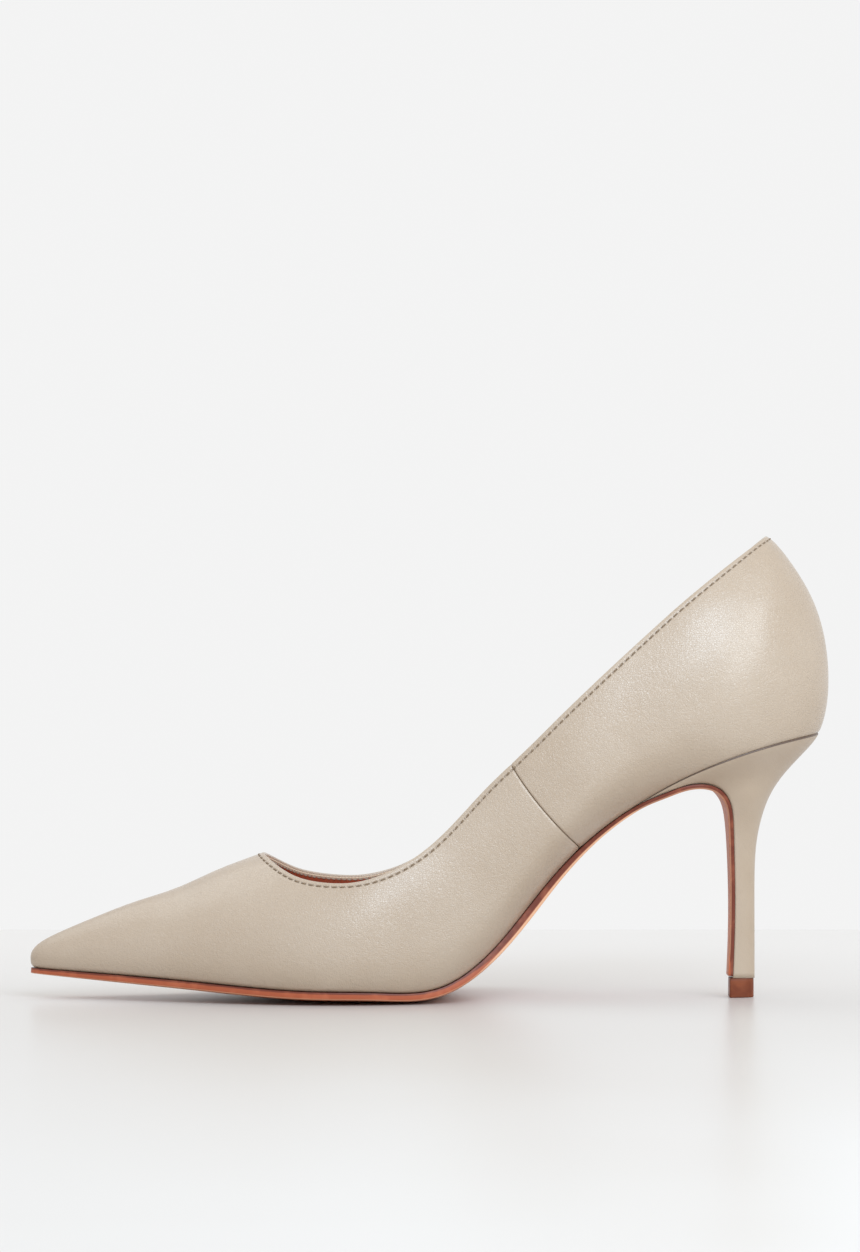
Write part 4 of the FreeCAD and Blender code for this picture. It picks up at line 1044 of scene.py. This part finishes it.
def makeHeelCover(material):
    use = heelMake
    s = np.linspace(0, breastRun[-1], 600)
    bx, bz = breastX(s), breastZ(s)
    bd = np.maximum.accumulate(heelDepth(bx, bz))
    low = seatZ - form["liftHeight"] - 0.02
    depth = low * np.linspace(0, 1, use["depths"]) ** 1.7
    frontAt = np.interp(depth, bd, bx)
    frontAt = np.where(depth > bd[-1], bx[-1], np.maximum(frontAt, splitX - use["tip"]))
    rows = []
    t = np.linspace(0, 1, use["columns"])
    for side in (-1, 1):
        cFront = heelShare(depth, frontAt, side)
        grid = heelPoint(depth[:, None], cFront[:, None] * t[None, :], side)
        rows.append(grid[:, ::-1] if side < 0 else grid[:, 1:])
    outer = np.concatenate(rows, 1)
    # a little roundness where the cover turns in at the seat and at the breast
    away = np.cumsum(np.linalg.norm(np.diff(outer, axis=0, prepend=outer[:1]), axis=-1), 0)
    fromStart = np.cumsum(np.linalg.norm(np.diff(outer, axis=1, prepend=outer[:, :1]), axis=-1), 1)
    fromEnd = fromStart[:, -1:] - fromStart
    down = unitRows(np.gradient(outer, axis=0))
    over = unitRows(np.gradient(outer, axis=1))
    normal = unitRows(np.cross(down, over))
    middle = outer.mean(1, keepdims=True)
    normal = normal * np.where(((middle - outer) * normal).sum(-1, keepdims=True) > 0, 1, -1)
    drop = np.maximum(roundDrop(np.minimum(fromStart, fromEnd), 0.3), roundDrop(away, 0.42))
    outer = outer + normal * drop[..., None]
    inner = outer + normal * (use["cover"] - drop)[..., None]
    uv = np.stack([fromStart, away], -1)
    piece = closedSheet("heelCoverLeather", outer, inner, uv, uv, material)
    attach(piece, "root")
    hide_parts("heel_cover")


def makeHeelLeather():
    use, heel = upperLeather, heelMake
    f = Finish("heelCoverFinish", Specular_IOR_Level=heel["shine"], Coat_Roughness=heel["coatRough"])
    down = f.layUv()[1]
    tone, height, pore, mid, broad = grainedLeather(f, 0)
    # painted shade: the cover darkens towards its top, where the upper overhangs the seat, and a
    # near-black painted shadow line runs along the seat
    tone = f.mix((1 - f.soft(down, 0.1, 1.1)) * 0.25, tone, use["poreAndShade"])
    tone = f.mix((1 - f.soft(down, 0.3, 0.6)) * 0.9, tone, heel["seatShade"])
    normal = f.bump(mid, 0.12, 0.4, f.bump(height, use["grainDepth"] * 0.8, 0.5))
    return f.set(Base_Color=tone, Roughness=(use["sheen"] + (mid - 0.5) * 0.12 + pore * 0.08).held(),
                 Normal=normal, Coat_Weight=(heel["coat"] + (broad - 0.5) * 0.12).held())


makeHeelCover(makeHeelLeather())


# outsole with its flap down the heel breast
soleMake = {
    "edgeT": [(0, 1.55), (0.1, 1.95), (0.4, 2.15), (0.5, 2.2),
              (0.56, 1.28 * form["soleWaist"]), (0.62, 1.45 * form["soleWaist"]),
              (0.665, 1.25 * form["soleWaist"]), (0.7, form["soleWaist"]),
              (0.752, form["flap"] + 0.02), (0.8, form["flap"]), (1, form["flap"])],
    "crown": [(0, 0.0), (0.08, 0.25), (0.25, 0.75), (0.35, 1.0), (0.47, 1.0), (0.56, 0.55),
              (0.64, 0.1), (0.75, 0.0), (1, 0.0)],
    "flat": 0.35, "stations": 210, "flapStations": 110,
    "under": paint(186, 108, 74), "underPale": paint(201, 128, 94),
    # the dark and top edge colours are painted shade under the overhanging upper; the pale edge colour
    # is bare leather and a painted highlight on the bottom corner
    "edgeShade": paint(112, 50, 32), "edgeWarm": paint(168, 84, 52), "edgeBareAndHighlight": paint(228, 176, 140),
    "edgeLight": paint(206, 122, 86), "edgeTopShade": paint(70, 30, 20),
    "underDeep": paint(160, 88, 58), "worn": paint(120, 74, 54),
    "flapFrom": 0.0,         # where the flap begins along the sole, set once the sole's run is known
}


def makeSoleFinish():
    use = soleMake
    f = Finish("outsoleLeather", Specular_IOR_Level=0.4)
    run, row = f.layUv()
    z = f.place()[2]
    waist = f.soft(z, 0.006, 0.016)
    broad, mid, fine = f.noise(30, 2.0), f.noise(4.5, 3.0), f.noise(0.6, 2.0)
    streak = f.node("ShaderNodeTexNoise", {"noise_dimensions": "2D"},
                    Vector=f.node("ShaderNodeCombineXYZ", None, run * 0.08, row * 6.0, 0.0),
                    Scale=2.2, Detail=3.0)
    # the dyed edge is warm; a band of painted shade runs along its top where the upper overhangs it,
    # widest at the waist and on the flap, a painted shadow line sits right under the leather, and the
    # pale bottom corner is partly bare leather and partly a painted highlight
    flap = f.soft(run, use["flapFrom"], use["flapFrom"] + 6.0)
    darkEnd = 0.26 + waist * 0.4 + flap * 0.24 + (streak - 0.5) * 0.22
    dark = 1 - f.soft(row, darkEnd - 0.07, darkEnd + 0.07)
    edge = f.mix(dark, use["edgeWarm"], use["edgeShade"])
    edge = f.mix(f.soft(mid, 0.45, 0.75) * 0.3, edge, use["edgeLight"])
    # painted shadow line where the sole meets the leather
    top = 1 - f.soft(row, 0.03, 0.14)
    edge = f.mix(top * 0.5, edge, use["edgeTopShade"])
    corner = f.soft(row, 0.82 - waist * 0.17, 0.9 - waist * 0.15)
    edge = f.mix(corner * (0.45 + waist * 0.55) * (1 - flap * 0.6), edge, use["edgeBareAndHighlight"])
    under = f.mix(f.soft(broad, 0.3, 0.7), use["under"], use["underPale"])
    under = f.mix(f.soft(mid, 0.55, 0.8) * 0.3, under, use["underDeep"])
    low = (1 - f.soft(z, 0.0001, 0.0012)) * f.soft(row, 1.1, 1.4)
    under = f.mix(low * 0.25 * f.soft(mid, 0.35, 0.6), under, use["worn"])
    below = f.soft(row, 0.98, 1.08)
    tone = f.mix(below, edge, under)
    rough = 0.38 + below * 0.12 + (mid - 0.5) * 0.14 + low * 0.15
    height = fine * 0.6 + mid * 0.4
    return f.set(Base_Color=tone, Roughness=rough.held(), Normal=f.bump(height, 0.06, 0.5))


def heelHalf(x, z, side):
    depth = heelDepth(x, z)
    return heelPoint(depth, heelShare(depth, x, side), side)[..., 1]


def makeOutsole():
    use = soleMake
    edgeT = SplineLine([(along(s), t) for s, t in use["edgeT"]])
    crown = SplineLine([(along(s), t) for s, t in use["crown"]])
    # stations under the foot, spaced by the ring's angle so that the toe is round
    psi = np.linspace(0, float(featherRing.angle(splitX - 6.0)), use["stations"])
    x = featherRing.x(psi)
    place = sidePoint(x, -0.05)
    # the lip points outwards: towards the toe and away from the middle line
    xShift, yEdge = [], []
    for side in (-1, 1):
        a = side * psi
        here, after, before = featherXY(a), featherXY(a + turnStep), featherXY(a - turnStep)
        dx, dy = after[0] - before[0], after[1] - before[1]
        size = np.hypot(dx, dy)
        xShift.append(-abs(form["soleLip"] * dy / size))
        yEdge.append(here[1] + side * abs(form["soleLip"] * dx / size))
    down = -bottomUp(x)
    s = np.linspace(0, breastRun[-1], use["flapStations"])[1:]
    fx, fz = breastX(s), breastZ(s)
    tx, tz = breastX(s + 0.05) - breastX(s - 0.05), breastZ(s + 0.05) - breastZ(s - 0.05)
    size = np.hypot(tx, tz)
    flapDown = np.stack([tz / size, 0 * s, -tx / size], -1)
    flapEdge = [heelHalf(fx, fz, -1) - 0.1, heelHalf(fx, fz, 1) + 0.1]
    blend = easeStep(s / 8.0)
    lead = [e[-1] for e in yEdge]
    flapEdge = [lead[k] * (1 - blend) + flapEdge[k] * blend for k in (0, 1)]
    # under the flap's first few millimetres the leather's own feather line is followed
    px = np.concatenate([place[:, 0], fx])
    pz = np.concatenate([place[:, 2], fz])
    normal = np.concatenate([down, flapDown])
    yIn = np.concatenate([yEdge[0], flapEdge[0]])
    yOut = np.concatenate([yEdge[1], flapEdge[1]])
    zero = np.zeros(len(s))
    shiftIn, shiftOut = np.concatenate([xShift[0], zero]), np.concatenate([xShift[1], zero])
    thick = np.concatenate([edgeT(x), edgeT(np.minimum(fx, along(0.99)))])
    thick[len(x):] = np.where(s > 12, form["flap"], thick[len(x):])
    full = np.concatenate([crown(x), zero])
    deep = (form["soleCentre"] + use["flat"] - thick) * full
    run = np.concatenate([[0], np.cumsum(np.hypot(np.diff(px), np.diff(pz)))])
    # one cross-section: over the top, down an edge, under the bottom, up the other edge
    topT = np.linspace(-0.97, 0.97, 9)
    edgeOut = np.array([-0.12, -0.02, 0.03, 0.05, 0.05, 0.04, 0.0, -0.1, -0.26])
    edgeAt = np.array([0, 0.06, 0.2, 0.4, 0.6, 0.75, 0.88, 0.96, 1.0])
    botT = np.linspace(0.94, -0.94, 21)
    t = np.concatenate([topT, np.ones(9), botT, -np.ones(9)])
    out = np.concatenate([np.zeros(9), edgeOut, np.zeros(21), edgeOut[::-1]])
    at = np.concatenate([np.zeros(9), edgeAt, np.ones(21), edgeAt[::-1]])
    row = np.concatenate([-(1 - np.abs(topT)) - 0.02, edgeAt, 1.02 + (1 - np.abs(botT)), edgeAt[::-1]])
    under = np.concatenate([np.zeros(18), np.ones(21), np.zeros(9)])
    mid, half = ((yIn + yOut) / 2)[:, None], ((yOut - yIn) / 2)[:, None]
    y = mid + t * half + out * np.sign(t) * half / (half + 0.5)
    h = at * thick[:, None] + under * deep[:, None] * (1 - np.abs(t) ** 2.6)
    shiftX = shiftIn[:, None] * (1 - t) / 2 + shiftOut[:, None] * (1 + t) / 2
    grid = np.stack([px[:, None] + h * normal[:, :1] + shiftX, y, pz[:, None] + h * normal[:, 2:]], -1)
    grid[..., 2] = np.maximum(grid[..., 2], -shift[2])
    use["flapFrom"] = float(run[len(x)])
    rows = np.append(row, row[0])
    lines = np.stack(np.broadcast_arrays(run[:, None], rows[None, :]), -1)
    piece = gridPiece("outsoleWithFlap", grid, lines, makeSoleFinish(), closeCols=True, weld=0.002,
                      cap=True)
    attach(piece, "root")
    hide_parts("outsole")


makeOutsole()


# top lift
liftMake = {
    "around": 56, "bevel": 0.35, "frontGap": 0.35,
    "colour": paint(132, 70, 42), "deep": paint(108, 52, 30), "worn": paint(104, 62, 46),
    "shade": paint(92, 46, 30),
}


def makeLiftFinish():
    f = Finish("topLiftRubber", Specular_IOR_Level=0.25)
    z = f.place()[2]
    broad, mid, fine = f.noise(6, 2.0), f.noise(1.6, 3.0), f.noise(0.4, 2.0)
    tone = f.mix(f.soft(broad, 0.35, 0.65), liftMake["deep"], liftMake["colour"])
    worn = 1 - f.soft(z, 0.0002, 0.0011)
    tone = f.mix(worn * 0.4 * f.soft(mid, 0.3, 0.6), tone, liftMake["worn"])
    shade = f.soft(z, 0.0050, 0.0058)
    tone = f.mix(shade * 0.5, tone, liftMake["shade"])
    return f.set(Base_Color=tone, Roughness=(0.45 + worn * 0.2 + (mid - 0.5) * 0.15).held(),
                 Normal=f.bump(fine * 0.5 + mid * 0.5, 0.05, 0.5))


def makeTopLift():
    use = liftMake
    front, back = stemFront + use["frontGap"] + form["liftInset"], stemBack - form["liftInset"]
    half, tall = form["stemHalf"] - form["liftInset"], form["liftHeight"]
    c = np.linspace(-1, 1, use["around"])
    arc = np.stack([front + (back - front) * np.cos(c * turn / 2),
                    np.sign(c) * half * np.sin(np.abs(c) * turn / 2) ** 0.85], -1)
    flat = np.stack([np.full(11, front), np.linspace(half, -half, 13)[1:-1]], -1)
    ring = np.concatenate([arc, flat])
    middle = np.array([(front + back) / 2 - 0.4, 0.0])
    bevel = use["bevel"] / half
    shrink = np.array([1e-4, 0.4, 0.8, 1 - bevel, 1 - bevel * 0.45, 1 - bevel * 0.1, 1, 1, 1, 1, 0.992,
                       0.97, 0.94, 0.5, 1e-4])
    level = np.array([0, 0, 0, 0, 0.06, 0.2, 0.36, 1.6, 3.0, 4.6, tall - 0.3, tall - 0.1, tall, tall,
                      tall])
    flatRing = middle + (ring - middle) * shrink[:, None, None]
    height = np.broadcast_to(level[:, None, None], (*flatRing.shape[:2], 1))
    grid = np.concatenate([flatRing, height], -1)
    u = np.linspace(0, 1, len(ring) + 1)
    lines = np.stack(np.meshgrid(level, u, indexing="ij"), -1)
    piece = gridPiece("topLiftCap", grid, lines, makeLiftFinish(), closeCols=True, weld=0.002)
    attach(piece, "root")
    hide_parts("top_lift")


makeTopLift()


# finishes of the parts that stay inside
insideLooks = {
    "clothDeep": paint(206, 202, 194), "cloth": paint(236, 233, 226), "clothAged": paint(196, 188, 172),
    "corkDeep": paint(150, 104, 66), "cork": paint(192, 146, 100), "corkGap": paint(92, 60, 38),
    "plasticDeep": paint(196, 188, 172), "plastic": paint(214, 207, 193), "threadsPerMetre": 6200.0,
}


def boardFinish(name, colour, deep, speck, size=0.9):
    f = Finish(name, Specular_IOR_Level=0.25)
    mid, fine = f.noise(size * 5, 3.0), f.noise(size, 3.0, 0.65)
    fibre = f.node("ShaderNodeTexNoise", None, Scale=1000.0 / size / 3, Detail=2.0,
                   Vector=f.node("ShaderNodeMapping", None, f.where, Scale=(0.25, 1.4, 1.4)))
    tone = f.mix(f.soft(mid, 0.35, 0.65), paint(*deep), paint(*colour))
    tone = f.mix(f.soft(fibre, 0.58, 0.72) * 0.5, tone, paint(*speck))
    return f.set(Base_Color=tone, Roughness=(0.78 + (mid - 0.5) * 0.15).held(),
                 Normal=f.bump(fine * 0.6 + fibre * 0.4, 0.12, 0.6))


def steelFinish(name, colour, stain):
    f = Finish(name, Specular_IOR_Level=0.5)
    drawn = f.node("ShaderNodeTexNoise", None, Scale=420.0, Detail=3.0,
                   Vector=f.node("ShaderNodeMapping", None, f.where, Scale=(0.15, 2.0, 2.0)))
    blotch = f.noise(4, 2.0)
    tone = f.mix(f.soft(blotch, 0.45, 0.75) * 0.6, paint(*colour), paint(*stain))
    return f.set(Base_Color=tone, Metallic=0.95 - f.soft(blotch, 0.5, 0.8) * 0.1,
                 Roughness=(0.28 + drawn * 0.2).held(), Normal=f.bump(drawn, 0.02, 0.4))


def clothFinish():
    f = Finish("interliningCloth", Specular_IOR_Level=0.2)
    x, _, z = f.place()
    fast, slow = insideLooks["threadsPerMetre"], insideLooks["threadsPerMetre"] / 2
    warp, weft = (x * fast + z * slow).sine(), (z * fast - x * slow).sine()
    weave = warp * weft
    blotch = f.noise(9, 2.0)
    tone = f.mix(f.soft(weave, -0.6, 0.6), insideLooks["clothDeep"], insideLooks["cloth"])
    tone = f.mix(f.soft(blotch, 0.4, 0.7) * 0.2, tone, insideLooks["clothAged"])
    return f.set(Base_Color=tone, Roughness=0.82 + (blotch - 0.5) * 0.1, Normal=f.bump(weave, 0.08, 0.7))


def corkFinish():
    f = Finish("bottomCork", Specular_IOR_Level=0.2)
    crumb = f.cells(1.3, "F1")
    edges = f.cells(1.3, "DISTANCE_TO_EDGE")
    mid = f.noise(3, 2.0)
    tone = f.mix(f.soft(mid, 0.35, 0.65), insideLooks["corkDeep"], insideLooks["cork"])
    tone = f.mix((1 - f.soft(edges, 0.0, 0.12)) * 0.6, tone, insideLooks["corkGap"])
    return f.set(Base_Color=tone, Roughness=0.8 + (mid - 0.5) * 0.2,
                 Normal=f.bump(f.soft(edges, 0.0, 0.2) + crumb * 0.2, 0.15, 0.6))


def plasticFinish():
    f = Finish("heelPlastic", Specular_IOR_Level=0.45)
    flow, fine = f.noise(12, 2.0), f.noise(0.5, 2.0)
    tone = f.mix(f.soft(flow, 0.35, 0.65), insideLooks["plasticDeep"], insideLooks["plastic"])
    return f.set(Base_Color=tone, Roughness=(0.42 + (flow - 0.5) * 0.15).held(),
                 Normal=f.bump(fine, 0.02, 0.4))


insideFinishes = {
    "toe_puff": boardFinish("toePuffSheet", (222, 216, 204), (205, 198, 184), (170, 160, 144), 0.7),
    "heel_counter": boardFinish("counterBoard", (178, 168, 152), (156, 146, 130), (120, 108, 94)),
    "vamp_interlining": clothFinish(),
    "insole_board": boardFinish("insoleFibreboard", (196, 160, 118), (172, 136, 98), (120, 90, 62)),
    "shank_board": boardFinish("shankFibreboard", (132, 124, 116), (110, 103, 96), (74, 68, 62)),
    "steel_shank": steelFinish("shankSteel", (150, 156, 166), (92, 104, 128)),
    "shank_rivets": steelFinish("rivetSteel", (186, 184, 178), (150, 140, 124)),
    "heel_screw": steelFinish("screwZinc", (196, 194, 184), (176, 164, 128)),
    "heel_nails": steelFinish("nailSteel", (172, 172, 170), (126, 116, 104)),
    "heel_tube": steelFinish("tubeSteel", (176, 178, 182), (136, 130, 122)),
    "top_lift_pin": steelFinish("pinSteel", (188, 188, 188), (146, 138, 128)),
    "bottom_filler": corkFinish(),
    "heel_block": plasticFinish(),
}
for name, material in insideFinishes.items():
    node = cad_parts[name]
    node.data.materials.clear()
    node.data.materials.append(material)
print("finishes set on", len(insideFinishes), "inner parts")


# floor, light and camera
studio = {
    "wall": 0.90, "floorNear": paint(206, 201, 196), "floorFar": paint(229, 226, 223),
    "floorPatch": paint(222, 220, 218), "floorRough": 0.3, "floorWide": 1800,
    "lights": [("keyLight", (0.17, -0.66, 0.52), (0.08, 0, 0.1), (0.4, 0.36), 2.4, (0.8, 0.98, 1.16)),
               ("rightLight", (0.6, -0.62, 0.42), (0.09, 0, 0.09), (0.4, 0.4), 2.4, (0.88, 0.99, 1.08)),
               ("topLight", (-0.5, 0.22, 0.82), (-0.08, 0, 0.03), (0.6, 0.45), 1.1, (0.95, 1.0, 1.0))],
    "floorBack": 0.295, "cameraAway": 1.344, "cameraHeight": 0.112, "lens": 127.95,
}


def makeFloor():
    f = Finish("studioFloor", Specular_IOR_Level=0.35)
    spot = f.noise(160, 2.0)
    # painted light: the floor is darker at the front and lighter towards the back, as the light falls on
    # it
    away = f.soft(f.place()[1], -0.15, 0.29)
    tone = f.mix(away, studio["floorNear"], studio["floorFar"])
    f.set(Base_Color=f.mix(f.soft(spot, 0.3, 0.7) * 0.1, tone, studio["floorPatch"]),
          Roughness=studio["floorRough"] + (spot - 0.5) * 0.04)
    back = studio["floorBack"] * 1000
    wide = studio["floorWide"]
    points = np.array([[-wide, -wide, 0], [wide, -wide, 0], [wide, back, 0], [-wide, back, 0]]) - shift
    floor = makePiece("floor", points, np.array([[0, 1, 2, 3]]), np.zeros((1, 4, 2)), f.material)


def softLight(name, place, aim, size, power, colour):
    data = bpy.data.lights.new(name, "AREA")
    data.shape = "RECTANGLE"
    data.size, data.size_y = size
    data.energy = power
    data.color = colour
    light = bpy.data.objects.new(name, data)
    bpy.context.scene.collection.objects.link(light)
    light.location = place
    light.rotation_euler = (Vector(aim) - Vector(place)).to_track_quat("-Z", "Y").to_euler()


def makeStudio():
    world = bpy.data.worlds.new("studioWorld")
    bpy.context.scene.world = world
    world.use_nodes = True
    air = world.node_tree.nodes["Background"]
    air.inputs["Color"].default_value = (1.0, 1.0, 1.0, 1)
    air.inputs["Strength"].default_value = studio["wall"]
    for light in studio["lights"]:
        softLight(*light)
    data = bpy.data.cameras.new("camera")
    data.lens = studio["lens"]
    data.sensor_width = 36.0
    data.clip_start, data.clip_end = 0.01, 50.0
    camera = bpy.data.objects.new("camera", data)
    bpy.context.scene.collection.objects.link(camera)
    camera.location = (shift[0] * 0.001, -studio["cameraAway"] + shift[1] * 0.001,
                       studio["cameraHeight"] + shift[2] * 0.001)
    camera.rotation_euler = (math.pi / 2, 0, 0)
    bpy.context.scene.camera = camera
    bpy.context.scene.view_settings.view_transform = "Standard"
    print("studio ready")


makeFloor()
makeStudio()
